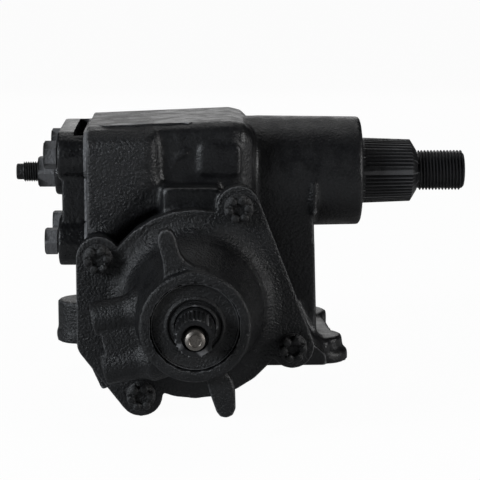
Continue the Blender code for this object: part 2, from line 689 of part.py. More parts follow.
def ball_return_guide():
    """The bent tube that takes the balls from one end of their circuit back to the other."""
    low = WORM_HEIGHT - GUIDE_FLOOR - GUIDE_TUBE - 2.0 * FIT
    top = WORM_HEIGHT - BALL_CIRCLE - BALL_RADIUS - 2.0 * FIT
    bend = GUIDE_BEND
    path = [(-GUIDE_SPAN, top)]
    path += arc((-GUIDE_SPAN + bend, low + bend), bend, math.pi, 1.5 * math.pi, 3)
    path += arc((GUIDE_SPAN - bend, low + bend), bend, 1.5 * math.pi, 2.0 * math.pi, 3)
    path.append((GUIDE_SPAN, top))
    bm = bmesh.new()
    rows = []
    for i, (y, z) in enumerate(path):
        before, after = path[max(i - 1, 0)], path[min(i + 1, len(path) - 1)]
        along = Vector((0.0, after[0] - before[0], after[1] - before[1])).normalized()
        side = Vector((1.0, 0.0, 0.0))
        up = along.cross(side)
        middle = Vector((0.0, BALL_MIDDLE + y, z))
        rows.append([[bm.verts.new(middle + (side * math.cos(a) + up * math.sin(a)) * radius)
                      for a in [2.0 * math.pi * k / GUIDE_SIDES for k in range(GUIDE_SIDES)]]
                     for radius in (GUIDE_TUBE, GUIDE_TUBE - GUIDE_WALL)])
    for lower, upper in zip(rows, rows[1:]):
        for wall in (0, 1):
            for k in range(GUIDE_SIDES):
                m = (k + 1) % GUIDE_SIDES
                bm.faces.new((lower[wall][k], lower[wall][m], upper[wall][m], upper[wall][k]))
    for outer, inner in (rows[0], rows[-1]):
        for k in range(GUIDE_SIDES):
            m = (k + 1) % GUIDE_SIDES
            bm.faces.new((outer[k], outer[m], inner[m], inner[k]))
    return tidy(bm)


def guide_clamp():
    """The strap that holds the return guide down on the rack piston."""
    floor = WORM_HEIGHT - GUIDE_FLOOR - FIT
    drop = 2.0 * GUIDE_TUBE + 3.0 * FIT
    inner = GUIDE_TUBE + FIT
    outer = inner + CLAMP_THICKNESS
    foot = CLAMP_SCREW_X + CLAMP_SCREW + 2.0 * OVERLAP
    outline = [(-foot, floor), (-foot, floor - CLAMP_THICKNESS), (-outer, floor - CLAMP_THICKNESS),
               (-outer, floor - drop - CLAMP_THICKNESS), (outer, floor - drop - CLAMP_THICKNESS),
               (outer, floor - CLAMP_THICKNESS), (foot, floor - CLAMP_THICKNESS), (foot, floor),
               (inner, floor), (inner, floor - drop), (-inner, floor - drop), (-inner, floor)]
    strap = prism(outline, "Y", BALL_MIDDLE - CLAMP_WIDTH / 2.0, BALL_MIDDLE + CLAMP_WIDTH / 2.0)
    holes = [bore("Z", floor - 2.0 * CLAMP_THICKNESS, floor + OVERLAP, CLAMP_SCREW + FIT, place, HOLE_SIDES)
             for place in clamp_screw_places()]
    return carved(strap, *holes)


def guide_clamp_screw(place):
    """A pan-headed screw of the guide clamp."""
    seat = WORM_HEIGHT - GUIDE_FLOOR - 2.0 * FIT - CLAMP_THICKNESS
    return turned([(seat - CLAMP_HEAD_HEIGHT, 0.0), (seat - CLAMP_HEAD_HEIGHT, CLAMP_HEAD - FIT),
                   (seat - CLAMP_HEAD_HEIGHT + FIT, CLAMP_HEAD), (seat, CLAMP_HEAD), (seat, CLAMP_SCREW),
                   (seat + CLAMP_SCREW_DEPTH, CLAMP_SCREW), (seat + CLAMP_SCREW_DEPTH, 0.0)],
                  "Z", place, HOLE_SIDES)


def worm_shaft():
    """The worm: grooved screw, thrust head and the hollow that takes the torsion bar."""
    axis = (0.0, WORM_HEIGHT)
    screw = helix_rod(WORM_FRONT, WORM_REAR, WORM_RADIUS, worm_groove, SHAFT_SIDES, HELIX_STEPS)
    neck = bar("Y", WORM_HEAD[1] - OVERLAP, WORM_FRONT + OVERLAP, BALL_CIRCLE - BALL_RADIUS - OVERLAP, axis)
    head = turned([(WORM_HEAD[0], 0.0), (WORM_HEAD[0], HEAD_RADIUS), (WORM_HEAD[1], HEAD_RADIUS),
                   (WORM_HEAD[1], THRUST_HOLE - FIT), (BEARING_NUT[1] + OVERLAP, THRUST_HOLE - FIT),
                   (BEARING_NUT[1] + OVERLAP, 0.0)], "Y", axis)
    spigot = bar("Y", SLEEVE[1] + FIT, WORM_HEAD[0] + OVERLAP, THRUST_HOLE - FIT, axis)
    hollow = bore("Y", SLEEVE[1] - OVERLAP, TORSION_REAR + OVERLAP, TORSION_RADIUS + FIT, axis)
    slot = bore("Y", SLEEVE[1] - OVERLAP, WORM_HEAD[1], SPOOL_TAIL + RUNNING, axis)
    return carved(joined(screw, neck, head, spigot), hollow, slot)


def piston_pieces(finishes, carrier):
    """The rack piston with its ring, plug, balls, return guide and clamp."""
    axis = (0.0, WORM_HEIGHT)
    piece("rack_piston", rack_piston(), finishes["steel"], carrier)
    low = PISTON_REAR - RING_GROOVE_EDGE - RING_WIDTH + FIT
    piece("rack_piston_ring", ring("Y", low, PISTON_REAR - RING_GROOVE_EDGE - FIT,
                                   CYLINDER_BORE - RING_DEPTH, CYLINDER_BORE - FIT / 3.0, axis, FINE_SIDES),
          finishes["polymer"], carrier)
    plug = bar("Y", PISTON_REAR - PISTON_PLUG, PISTON_REAR - OVERLAP, PLUG_RADIUS, axis, SIDES, OVERLAP / 2.0)
    key = block((-PLUG_SQUARE, PLUG_SQUARE), (PISTON_REAR - PISTON_PLUG / 2.0, PISTON_REAR),
                (WORM_HEIGHT - PLUG_SQUARE, WORM_HEIGHT + PLUG_SQUARE))
    piece("rack_piston_plug", carved(plug, key), finishes["steel"], carrier)
    for number in range(BALLS):
        turn = BALL_TURNS * (number / (BALLS - 1.0) - 0.5)
        bm = bmesh.new()
        bmesh.ops.create_icosphere(bm, subdivisions=2, radius=BALL_RADIUS,
                                   matrix=Matrix.Translation(ball_place(turn)))
        piece(f"ball_{number + 1:02d}", bm, finishes["bright"], carrier)
    piece("ball_return_guide", ball_return_guide(), finishes["bright"], carrier)
    piece("guide_clamp", guide_clamp(), finishes["steel"], carrier)
    for number, place in enumerate(clamp_screw_places(), 1):
        piece(f"guide_clamp_screw_{number}", guide_clamp_screw(place), finishes["steel"], carrier)


def valve_sleeve():
    """The valve sleeve: ring grooves outside and pressure slots inside."""
    axis = (0.0, WORM_HEIGHT)
    inside = clear(SLEEVE_BORE)
    profile = [(SLEEVE[0], inside), (SLEEVE[0], SLEEVE_RADIUS)]
    for middle in sleeve_ring_places():
        profile += [(middle - RING_WIDTH / 2.0, SLEEVE_RADIUS),
                    (middle - RING_WIDTH / 2.0, SLEEVE_RADIUS - RING_DEPTH),
                    (middle + RING_WIDTH / 2.0, SLEEVE_RADIUS - RING_DEPTH),
                    (middle + RING_WIDTH / 2.0, SLEEVE_RADIUS)]
    profile += [(SLEEVE[1], SLEEVE_RADIUS), (SLEEVE[1], inside)]
    return turned(profile, "Y", axis)


def sleeve_ring_places():
    """Where the seal rings of the sleeve lie, along the worm axis."""
    step = (SLEEVE[1] - SLEEVE[0]) / SLEEVE_RINGS
    return [SLEEVE[0] + step * (i + 0.5) for i in range(SLEEVE_RINGS)]


def input_shaft():
    """The stub shaft: fluted spool behind, serrated and flatted end in front, hollow for the torsion bar."""
    axis = (0.0, WORM_HEIGHT)
    spool_front = SLEEVE[0] + RUNNING
    spool_rear = SLEEVE[1] - RUNNING
    body = turned([(INPUT_FRONT + INPUT_COLLAR, 0.0), (INPUT_FRONT + INPUT_COLLAR, INPUT_RADIUS),
                   (spool_front, INPUT_RADIUS), (spool_front, SPOOL_RADIUS), (spool_rear, SPOOL_RADIUS),
                   (spool_rear, SPOOL_TAIL), (WORM_HEAD[0] + 2.0 * OVERLAP, SPOOL_TAIL),
                   (WORM_HEAD[0] + 2.0 * OVERLAP, 0.0)], "Y", axis, SHAFT_SIDES)
    end = stack("Y", [
        (INPUT_FRONT, serrated(INPUT_RADIUS - OVERLAP, 0.0, INPUT_SERRATIONS, axis)),
        (INPUT_FRONT + OVERLAP, serrated(INPUT_RADIUS, INPUT_TOOTH, INPUT_SERRATIONS, axis)),
        (INPUT_FRONT + INPUT_COLLAR + OVERLAP, serrated(INPUT_RADIUS, INPUT_TOOTH, INPUT_SERRATIONS, axis))])
    flat = block((INPUT_FLAT, 2.0 * INPUT_RADIUS), (INPUT_FRONT - OVERLAP, INPUT_FRONT + INPUT_COLLAR),
                 (WORM_HEIGHT - 2.0 * INPUT_RADIUS, WORM_HEIGHT + 2.0 * INPUT_RADIUS))
    mouth = bore("Y", INPUT_FRONT - OVERLAP, INPUT_FRONT + TORSION_SEAT, INPUT_HOLLOW, axis, SHAFT_SIDES)
    hollow = bore("Y", INPUT_FRONT, WORM_HEAD[0] + 3.0 * OVERLAP, TORSION_RADIUS + FIT, axis, SHAFT_SIDES)
    flutes = [bar("Y", spool_front + 2.0 * OVERLAP, spool_rear - 2.0 * OVERLAP, FLUTE,
                  (SPOOL_RADIUS * math.sin(a), WORM_HEIGHT + SPOOL_RADIUS * math.cos(a)), FLUTES)
              for a in [2.0 * math.pi * (i + 0.5) / FLUTES for i in range(FLUTES)]]
    return carved(joined(body, end), flat, mouth, hollow, *flutes, drive_pin_hole())


def drive_pin_hole():
    """The cross hole that the drive pin of the torsion bar sits in."""
    return bore("X", -2.0 * INPUT_RADIUS, 2.0 * INPUT_RADIUS, DRIVE_PIN + FIT, (DRIVE_PIN_Y, WORM_HEIGHT),
                HOLE_SIDES)


def torsion_bar():
    """The torsion bar, its bright headed end standing out of the input shaft."""
    shaft = turned([(TORSION_FRONT, 0.0), (TORSION_FRONT, TORSION_HEAD - TORSION_CHAMFER),
                    (TORSION_FRONT + TORSION_CHAMFER, TORSION_HEAD),
                    (INPUT_FRONT + TORSION_SEAT - FIT, TORSION_HEAD),
                    (INPUT_FRONT + TORSION_SEAT - FIT, TORSION_RADIUS),
                    (TORSION_REAR, TORSION_RADIUS), (TORSION_REAR, 0.0)], "Y", (0.0, WORM_HEIGHT), FINE_SIDES)
    return carved(shaft, drive_pin_hole())


def thrust_bearing(low, high):
    """A thrust bearing, as the flat cage that carries its needles."""
    return ring("Y", low, high, THRUST_HOLE, THRUST_OUTSIDE, (0.0, WORM_HEIGHT))


def lip_seal(axis, low, high, inner, outer, centre, sides=SIDES):
    """A shaft seal: outer case, thin web and a lip that leans along the shaft."""
    wall = (outer - inner) * 0.28
    web = (high - low) * 0.35
    lip = clear(inner, sides)
    return turned([(low, lip + wall), (low, outer), (high, outer), (high, outer - wall),
                   (low + web, outer - wall), (low + web, lip + wall), (high, lip)], axis, centre, sides)


def worm_pieces(finishes, worm, twist, fixed):
    """The worm with its bearings, the valve and the input shaft with its torsion bar and seals."""
    axis = (0.0, WORM_HEIGHT)
    piece("worm_shaft", worm_shaft(), finishes["steel"], worm)
    piece("valve_sleeve", valve_sleeve(), finishes["steel"], worm)
    for number, middle in enumerate(sleeve_ring_places(), 1):
        half = RING_WIDTH / 2.0 - FIT
        piece(f"sleeve_ring_{number}",
              ring("Y", middle - half, middle + half, SLEEVE_RADIUS - RING_DEPTH + FIT, VALVE_BORE - FIT / 3.0,
                   axis), finishes["polymer"], worm)
    piece("input_shaft", input_shaft(), finishes["black"], twist)
    piece("torsion_bar", torsion_bar(), finishes["bright"], twist)
    piece("drive_pin", bar("X", 1.0 * MM - INPUT_RADIUS, INPUT_RADIUS - 1.0 * MM, DRIVE_PIN,
                           (DRIVE_PIN_Y, WORM_HEIGHT), HOLE_SIDES), finishes["steel"], twist)
    piece("bearing_nut", ring("Y", *BEARING_NUT, THRUST_HOLE + RUNNING, THRUST_BORE - FIT, axis),
          finishes["steel"], fixed)
    piece("rear_thrust_bearing", thrust_bearing(*REAR_THRUST), finishes["bright"], fixed)
    piece("front_thrust_bearing", thrust_bearing(*FRONT_THRUST), finishes["bright"], fixed)
    piece("input_bearing", ring("Y", INPUT_BEARING[0] + FIT, INPUT_BEARING[1] - FIT, INPUT_RADIUS + FIT,
                                INPUT_BEARING_RADIUS - FIT, axis), finishes["bright"], fixed)
    piece("input_oil_seal", lip_seal("Y", *OIL_SEAL, INPUT_RADIUS + FIT, OIL_SEAL_RADIUS - FIT, axis),
          finishes["rubber"], fixed)
    piece("input_dust_seal", dust_seal(), finishes["black"], fixed)


def dust_seal():
    """The dished dust seal in the mouth of the cup, with two raised lips round the input shaft."""
    low, high = DUST_SEAL
    lip = clear(INPUT_RADIUS + FIT, FINE_SIDES)
    rim = CUP_BORE - FIT
    return turned([(high, lip), (low - LIP_RISE, lip), (low - LIP_RISE, lip + LIP_WALL),
                   (low, lip + 2.0 * LIP_WALL), (low, lip + 3.0 * LIP_WALL),
                   (low - LIP_RISE / 2.0, lip + 3.5 * LIP_WALL), (low, lip + 4.5 * LIP_WALL),
                   (low, rim - LIP_WALL), (low - LIP_RISE / 3.0, rim), (high, rim)],
                  "Y", (0.0, WORM_HEIGHT), FINE_SIDES)


def bolt_places(radius=BOLT_CIRCLE):
    """The valve housing bolts, as (X, Z), or places further in or out on the same rays."""
    return [(radius * math.cos(a), WORM_HEIGHT + radius * math.sin(a)) for a in BOLT_ANGLES]


def flange_shapes(low, high, inset=0.0):
    """The joint flange: a disc with a plate on the right and a cornered plate on the left."""
    ears = [(place, EAR_RADIUS - inset) for place in bolt_places()]
    disc = circle((0.0, WORM_HEIGHT), FLANGE_DISC - inset, CASTING_SIDES)
    corner = (FLANGE_CORNER, CORNER_RADIUS - inset)
    return [prism(disc, "Y", low, high), prism(plate(ears[1:3], CASTING_SIDES), "Y", low, high),
            prism(plate([ears[0], corner, ears[3]], CASTING_SIDES), "Y", low, high)]


def chamber():
    """The sector chamber, rounded at its right end, and the deeper block on the left of its front."""
    crown = SECTOR_HEIGHT + CHAMBER_TOP
    box = cushion("X", (CHAMBER_FRONT, WORM_HEIGHT + CHAMBER_FLOOR), (CHAMBER_REAR, crown),
                  CHAMBER_EDGE, CHAMBER_LEFT, CHAMBER_RIGHT, CHAMBER_CORNER, 3)
    for vert in box.verts:
        share = (vert.co.z - WORM_HEIGHT) / (crown - WORM_HEIGHT)
        vert.co.z -= CHAMBER_SLOPE * share * (CHAMBER_RIGHT - vert.co.x)
    front = soft_hull("Y", BLOCK_CENTRES, BLOCK_CORNER, CHAMBER_FRONT + OVERLAP, CHAMBER_FRONT - BLOCK_RISE,
                      BLOCK_SOFT)
    return [box, front]


def feet():
    """The mounting feet: a left boss and a right base with two bosses, all flat on the mounting plane."""
    left, near, far = FOOT_PLACES
    inner = CYLINDER_BORE * BASE_INNER
    arm = [(left, FOOT_RADIUS - OVERLAP), ((-inner, left[1]), FOOT_RADIUS)]
    toe = [(near, FOOT_RADIUS + 2.0 * OVERLAP), ((0.0, near[1]), FOOT_RADIUS)]
    base = [(near, FOOT_RADIUS - 3.0 * OVERLAP), (far, FOOT_RADIUS - 3.0 * OVERLAP),
            ((inner, near[1]), FOOT_RADIUS), ((inner, far[1]), FOOT_RADIUS)]
    return [prism(plate([(left, FOOT_RADIUS)]), "Z", 0.0, LEFT_FOOT_HEIGHT),
            prism(plate(arm), "Z", OVERLAP, LEFT_FOOT_HEIGHT - OVERLAP),
            prism(plate([(left, FOOT_RADIUS + OVERLAP)]), "Z", 0.0, FOOT_LIP),
            prism(plate(toe), "Z", 0.0, FOOT_LIP),
            prism(plate([(near, FOOT_RADIUS - OVERLAP)]), "Z", 0.0, RIGHT_FOOT_HEIGHT),
            prism(plate(base), "Z", OVERLAP, BASE_HEIGHT),
            prism(plate([(far, FOOT_RADIUS)]), "Z", 0.0, RIGHT_FOOT_HEIGHT - OVERLAP)]


def web():
    """The upright wall that ties the sector tube to the worm cylinder and the right feet."""
    left = CHAMBER_RIGHT - CHAMBER_CORNER
    foot = RIGHT_FOOT_HEIGHT - OVERLAP
    outline = [(left, SECTOR_HEIGHT), (left, BASE_HEIGHT / 2.0), (WEB_EDGE + WEB_FLARE, BASE_HEIGHT / 2.0)]
    outline += arc((WEB_EDGE + WEB_FLARE, foot + WEB_FLARE), WEB_FLARE, 1.5 * math.pi, math.pi, 4)
    outline.append((WEB_EDGE - 2.5 * OVERLAP, SECTOR_HEIGHT))
    return prism(outline, "Y", WEB_FRONT, WEB_FRONT + WEB_THICKNESS)


def gusset():
    """The sloping corner that ties the joint flange to the near right foot."""
    return prism(GUSSET, "Y", JOINT_FACE + FLANGE_THICKNESS / 2.0, WEB_FRONT + OVERLAP)


def tab():
    """The small lug under the left corner of the joint flange."""
    width, length = TAB_SIZE
    lug = cushion("Y", (-width / 2.0, -length / 2.0), (width / 2.0, length / 2.0), OVERLAP,
                  JOINT_FACE + FLANGE_THICKNESS, JOINT_FACE + OVERLAP / 2.0, OVERLAP)
    bmesh.ops.rotate(lug, verts=lug.verts, matrix=Matrix.Rotation(-TAB_TILT, 3, "Y"))
    bmesh.ops.translate(lug, verts=lug.verts, vec=(TAB_PLACE[0], 0.0, TAB_PLACE[1]))
    return lug


def cover_bolt_places():
    """The side cover bolts, as (Y, Z)."""
    return [(y, COVER_CENTRE + z) for z in (COVER_BOLT_Z, -COVER_BOLT_Z) for y in (-COVER_BOLT_Y, COVER_BOLT_Y)]


def gear_housing():
    """The main casting, with its bores, sector room, bolt holes and foot holes."""
    axis = (0.0, WORM_HEIGHT)
    sector = (0.0, SECTOR_HEIGHT)
    outside = CYLINDER_BORE + CYLINDER_WALL
    cylinder = turned([(JOINT_FACE, 0.0), (JOINT_FACE, outside + OVERLAP), (REAR_END - 4.0 * OVERLAP, outside),
                       (REAR_END - 4.0 * OVERLAP, outside + REAR_LIP), (REAR_END - OVERLAP, outside + REAR_LIP),
                       (REAR_END, outside + REAR_LIP - OVERLAP), (REAR_END, 0.0)], "Y", axis, CASTING_SIDES)
    tube = turned([(0.0, 0.0), (0.0, TUBE_RADIUS), (CHAMBER_RIGHT, TUBE_RADIUS),
                   (TUBE_END - 1.5 * OVERLAP, TUBE_RADIUS - TUBE_DRAFT),
                   (TUBE_END, TUBE_RADIUS - TUBE_DRAFT - 1.5 * OVERLAP), (TUBE_END, 0.0)],
                  "X", sector, CASTING_SIDES)
    flange = flange_shapes(JOINT_FACE, JOINT_FACE + FLANGE_THICKNESS, OVERLAP)
    ledge = cushion("Y", (LEDGE[0], WORM_HEIGHT), (LEDGE[1], SECTOR_HEIGHT + LEDGE_TOP), 3.0 * OVERLAP,
                    CHAMBER_FRONT + 2.0 * OVERLAP, JOINT_FACE + 2.0 * OVERLAP, 1.5 * OVERLAP)
    panel = cushion("Y", (PANEL[0], SECTOR_HEIGHT + PANEL[2]), (PANEL[1], SECTOR_HEIGHT + PANEL[3]),
                    3.0 * OVERLAP, CHAMBER_FRONT + OVERLAP, CHAMBER_FRONT - PANEL_RISE, OVERLAP)
    pad = prism(rounded((-PAD_SIDE / 2.0, -PAD_SIDE / 2.0), (PAD_SIDE / 2.0, PAD_SIDE / 2.0), 3.0 * OVERLAP),
                "Z", 0.0, CYLINDER_WALL)
    body = joined(cylinder, *chamber(), tube, *flange, ledge, panel, pad, web(), gusset(), tab(), *feet())

    cylinder_bore = bore("Y", JOINT_FACE - OVERLAP, REAR_END + OVERLAP, CYLINDER_BORE, axis, FINE_SIDES)
    groove = bore("Y", SNAP_RING_PLACE - FIT, SNAP_RING_PLACE + SNAP_RING + FIT,
                 CYLINDER_BORE + SNAP_RING_DEPTH, axis, FINE_SIDES)
    room = prism(arc(sector, SECTOR_TIP + SWEEP_ROOM, math.pi - SWEEP_LIFT, 2.0 * math.pi + SWEEP_LIFT, 18)
                 + arc(sector, TUBE_BORE, SWEEP_LIFT, math.pi - SWEEP_LIFT, HOLE_SIDES), "X",
                 -SECTOR_FACE - SWEEP_ROOM, SECTOR_FACE + SWEEP_ROOM)
    opening = bore("X", CHAMBER_LEFT - OVERLAP, -SECTOR_FACE, COVER_OPENING, (0.0, COVER_CENTRE), FINE_SIDES)
    tube_bore = bore("X", SECTOR_FACE, TUBE_END + OVERLAP, TUBE_BORE, sector, FINE_SIDES)
    seal_bore = bore("X", TUBE_END - SEAL_BORE_DEPTH, TUBE_END + OVERLAP, SEAL_BORE, sector, FINE_SIDES)
    seal_groove = bore("X", SHAFT_RING_PLACE - FIT, SHAFT_RING_PLACE + SNAP_RING + FIT,
                      SEAL_BORE + SNAP_RING_DEPTH, sector, FINE_SIDES)
    cuts = [cylinder_bore, groove, room, opening, tube_bore, seal_bore, seal_groove]
    cuts += [bore("X", CHAMBER_LEFT - OVERLAP, CHAMBER_LEFT + COVER_BOLT_DEPTH, COVER_BOLT_SHANK + FIT, place,
                  HOLE_SIDES) for place in cover_bolt_places()]
    cuts += [bore("Y", JOINT_FACE - OVERLAP, JOINT_FACE + VALVE_BOLT_DEPTH, VALVE_BOLT_SHANK + FIT, place,
                  HOLE_SIDES) for place in bolt_places()]
    cuts += [bore("Z", -OVERLAP, FOOT_HOLE_DEPTH, FOOT_HOLE, place, EDGE_SIDES) for place in FOOT_PLACES]
    cuts.append(block((2.0 * CHAMBER_LEFT, CHAMBER_LEFT), (2.0 * CHAMBER_FRONT, CHAMBER_REAR),
                      (WORM_HEIGHT + OVERLAP, SECTOR_HEIGHT + 2.0 * CHAMBER_TOP)))
    return carved(body, *cuts)


def tilted(bm):
    """A shape made level with the worm axis, turned about that axis to the slope of the hose ports."""
    bmesh.ops.rotate(bm, verts=bm.verts, cent=(0.0, 0.0, WORM_HEIGHT),
                     matrix=Matrix.Rotation(-PORT_TILT, 3, "Y"))
    return bm


def port_block():
    """The two bosses of the hose ports and the thinner wall between them."""
    places = [(PORT_Y, WORM_HEIGHT + offset) for offset, radius in PORTS]
    end, root = -PORT_REACH, -PORT_ROOT
    bosses = [turned([(end, 0.0), (end, radius - OVERLAP), (end + OVERLAP, radius), (root - PORT_FLARE, radius),
                      (root, radius + PORT_FLARE / 3.0), (root + PORT_FLARE, radius + PORT_FLARE),
                      (0.0, radius), (0.0, 0.0)], "X", place, FINE_SIDES)
              for place, (offset, radius) in zip(places, PORTS)]
    middle = hull([dot for place, (offset, radius) in zip(places, PORTS)
                   for dot in circle(place, radius - 2.0 * OVERLAP, EDGE_SIDES)])
    return [tilted(bm) for bm in bosses + [prism(middle, "X", 3.0 * OVERLAP - PORT_REACH, 0.0)]]


def valve_ears():
    """The two shield ears that stand out beside the mouth of the cup."""
    return [prism([(x, WORM_HEIGHT + z) for x, z in outline], "Y", EAR_PLANE - EAR_THICKNESS / 2.0,
                  EAR_PLANE + EAR_THICKNESS / 2.0) for outline in (UPPER_EAR, LOWER_EAR)]


def bell(face):
    """The hollow curve of the body between the joint flange and the cup, as (along, radius)."""
    spread, length = BODY_FLARE
    turns = [0.5 * math.pi * i / BELL_STEPS for i in range(BELL_STEPS + 1)]
    return [(face - length * (1.0 - math.cos(a)), BODY_RADIUS + spread * (1.0 - math.sin(a))) for a in turns]


def valve_housing():
    """The front casting: flange, bell-shaped body, cup with two shield ears, and two hose port bosses."""
    axis = (0.0, WORM_HEIGHT)
    rear = JOINT_FACE - FIT
    face = rear - VALVE_FLANGE
    body = turned([(rear, 0.0), (rear, BODY_RADIUS + BODY_FLARE[0]), *bell(face),
                   (BODY_MIDDLE, BODY_RADIUS - 2.0 * OVERLAP),
                   (BODY_FRONT, CUP_RADIUS + 2.0 * OVERLAP), (BODY_FRONT - BODY_BLEND, CUP_RADIUS),
                   (CUP_FRONT + OVERLAP, CUP_RADIUS), (CUP_FRONT, CUP_RADIUS - OVERLAP), (CUP_FRONT, 0.0)],
                  "Y", axis, CASTING_SIDES)
    whole = joined(body, *flange_shapes(face, rear), *valve_ears(), *port_block())

    cuts = [bore("Y", FRONT_THRUST[0] - FIT, JOINT_FACE + OVERLAP, THRUST_BORE, axis, FINE_SIDES),
            bore("Y", SLEEVE[0] - RUNNING, FRONT_THRUST[1], VALVE_BORE, axis, FINE_SIDES),
            bore("Y", OIL_SEAL[1], SLEEVE[0], INPUT_BEARING_RADIUS, axis),
            bore("Y", OIL_SEAL[0] - FIT, OIL_SEAL[1] + FIT, OIL_SEAL_RADIUS, axis),
            bore("Y", CUP_FRONT - OVERLAP, DUST_SEAL[1] + FIT, CUP_BORE, axis, FINE_SIDES)]
    for place in bolt_places():
        cuts.append(bore("Y", face - OVERLAP, rear + OVERLAP, VALVE_BOLT_SHANK + FIT, place, HOLE_SIDES))
        cuts.append(bore("Y", face - OVERLAP, face, VALVE_BOLT_WASHER + OVERLAP, place, EDGE_SIDES))
    for offset, radius in PORTS:
        place = (PORT_Y, WORM_HEIGHT + offset)
        floor = PORT_DEPTH - PORT_REACH
        cuts.append(tilted(bore("X", -PORT_REACH - OVERLAP, floor, PORT_HOLE, place, FINE_SIDES)))
        cuts.append(tilted(bore("X", floor - OVERLAP, -PORT_GALLERY, PORT_DRILLING, place, HOLE_SIDES)))
    return carved(whole, *cuts)


def port_seat(offset):
    """The flared seat that is pressed into the floor of a hose port."""
    floor = PORT_DEPTH - PORT_REACH - FIT
    inside = clear(PORT_DRILLING)
    return tilted(turned([(floor, inside), (floor - PORT_SEAT, inside),
                          (floor - PORT_SEAT, inside + OVERLAP), (floor - OVERLAP, PORT_HOLE - FIT),
                          (floor, PORT_HOLE - FIT)], "X", (PORT_Y, WORM_HEIGHT + offset)))


def valve_bolt(place):
    """A flange-headed bolt with a hollow six-lobed drive."""
    seat = JOINT_FACE - FIT - VALVE_FLANGE - FIT
    washer = seat - 2.0 * OVERLAP
    top = seat - VALVE_BOLT_HEAD
    base = turned([(top + 4.0 * OVERLAP, 0.0), (washer, VALVE_BOLT_WASHER - 2.0 * OVERLAP),
                   (washer + OVERLAP, VALVE_BOLT_WASHER), (seat, VALVE_BOLT_WASHER), (seat, VALVE_BOLT_SHANK),
                   (seat + VALVE_BOLT_LENGTH - OVERLAP, VALVE_BOLT_SHANK),
                   (seat + VALVE_BOLT_LENGTH, VALVE_BOLT_SHANK - OVERLAP), (seat + VALVE_BOLT_LENGTH, 0.0)],
                  "Y", place)
    outline = []
    for i in range(12):
        angle = math.pi * i / 6.0
        radius = LOBE_MIDDLE + LOBE_RISE * math.cos(6.0 * angle)
        outline.append((place[0] + radius * math.cos(angle), place[1] + radius * math.sin(angle)))
    lobes = prism(outline, "Y", top, washer + OVERLAP / 2.0)
    hollow = bar("Y", top - OVERLAP, top + LOBE_HOLLOW_DEPTH, LOBE_HOLLOW, place, HOLE_SIDES)
    return carved(joined(base, lobes), hollow)


def hexagon(centre, corners):
    """A hexagon from its centre and its radius to the corners."""
    return arc(centre, corners, 0.0, 5.0 * math.pi / 3.0, 5)


def side_cover():
    """The side cover: waisted plate with four bolt ears, an inner hub for the shaft and an adjuster boss."""
    inner = COVER_INNER
    outer = inner - COVER_THICKNESS
    places = cover_bolt_places()
    upper = plate([(place, COVER_EAR) for place in places[:2]])
    lower = plate([(place, COVER_EAR) for place in places[2:]])
    disc = circle((0.0, COVER_CENTRE), COVER_OPENING + 4.0 * OVERLAP, FINE_SIDES)
    sector = (0.0, SECTOR_HEIGHT)
    boss = bar("X", outer - COVER_BOSS, outer + OVERLAP, COVER_BOSS_RADIUS, sector, SIDES, OVERLAP / 2.0)
    hub = bar("X", inner - OVERLAP, CHAMBER_LEFT + COVER_HUB_LENGTH, COVER_HUB, sector)
    rib = block((outer + OVERLAP, outer + 4.0 * OVERLAP), (-COVER_RIB, COVER_RIB),
                (COVER_CENTRE - COVER_BOLT_Z - OVERLAP, COVER_CENTRE + COVER_BOLT_Z + OVERLAP))
    whole = joined(prism(upper, "X", outer, inner), prism(lower, "X", outer, inner),
                   prism(disc, "X", outer + 2.0 * OVERLAP, inner), boss, hub, rib)
    bush = COVER_JOURNAL + FIT + BUSH_WALL + FIT
    half, depth = COVER_SLOT
    crown = COVER_CENTRE + COVER_BOLT_Z + COVER_EAR
    slot = block((outer + COVER_SLOT_WALLS[0], inner - COVER_SLOT_WALLS[1]), (-half, half),
                 (crown - depth, crown + OVERLAP))
    cuts = [slot, bore("X", CHAMBER_LEFT - COVER_SHAFT_DEPTH - 3.0 * OVERLAP,
                       CHAMBER_LEFT + COVER_HUB_LENGTH + OVERLAP, bush, sector),
            bore("X", outer - COVER_BOSS - OVERLAP, inner, LASH_RADIUS + FIT, sector)]
    cuts += [bore("X", outer - OVERLAP, inner + OVERLAP, COVER_BOLT_SHANK + FIT, place, HOLE_SIDES)
             for place in places]
    return carved(whole, *cuts)


def side_cover_gasket():
    """The gasket between the side cover and the main casting."""
    low = COVER_INNER + FIT
    places = cover_bolt_places()
    upper = prism(plate([(place, COVER_EAR - OVERLAP) for place in places[:2]]), "X", low, low + GASKET)
    lower = prism(plate([(place, COVER_EAR - OVERLAP) for place in places[2:]]), "X", low, low + GASKET)
    disc = prism(circle((0.0, COVER_CENTRE), COVER_OPENING + 3.0 * OVERLAP, FINE_SIDES), "X", low, low + GASKET)
    cuts = [bore("X", low - OVERLAP, low + GASKET + OVERLAP, COVER_OPENING + FIT, (0.0, COVER_CENTRE),
                 FINE_SIDES)]
    cuts += [bore("X", low - OVERLAP, low + GASKET + OVERLAP, COVER_BOLT_SHANK + 2.0 * FIT, place, HOLE_SIDES)
             for place in places]
    return carved(joined(disc, upper, lower), *cuts)


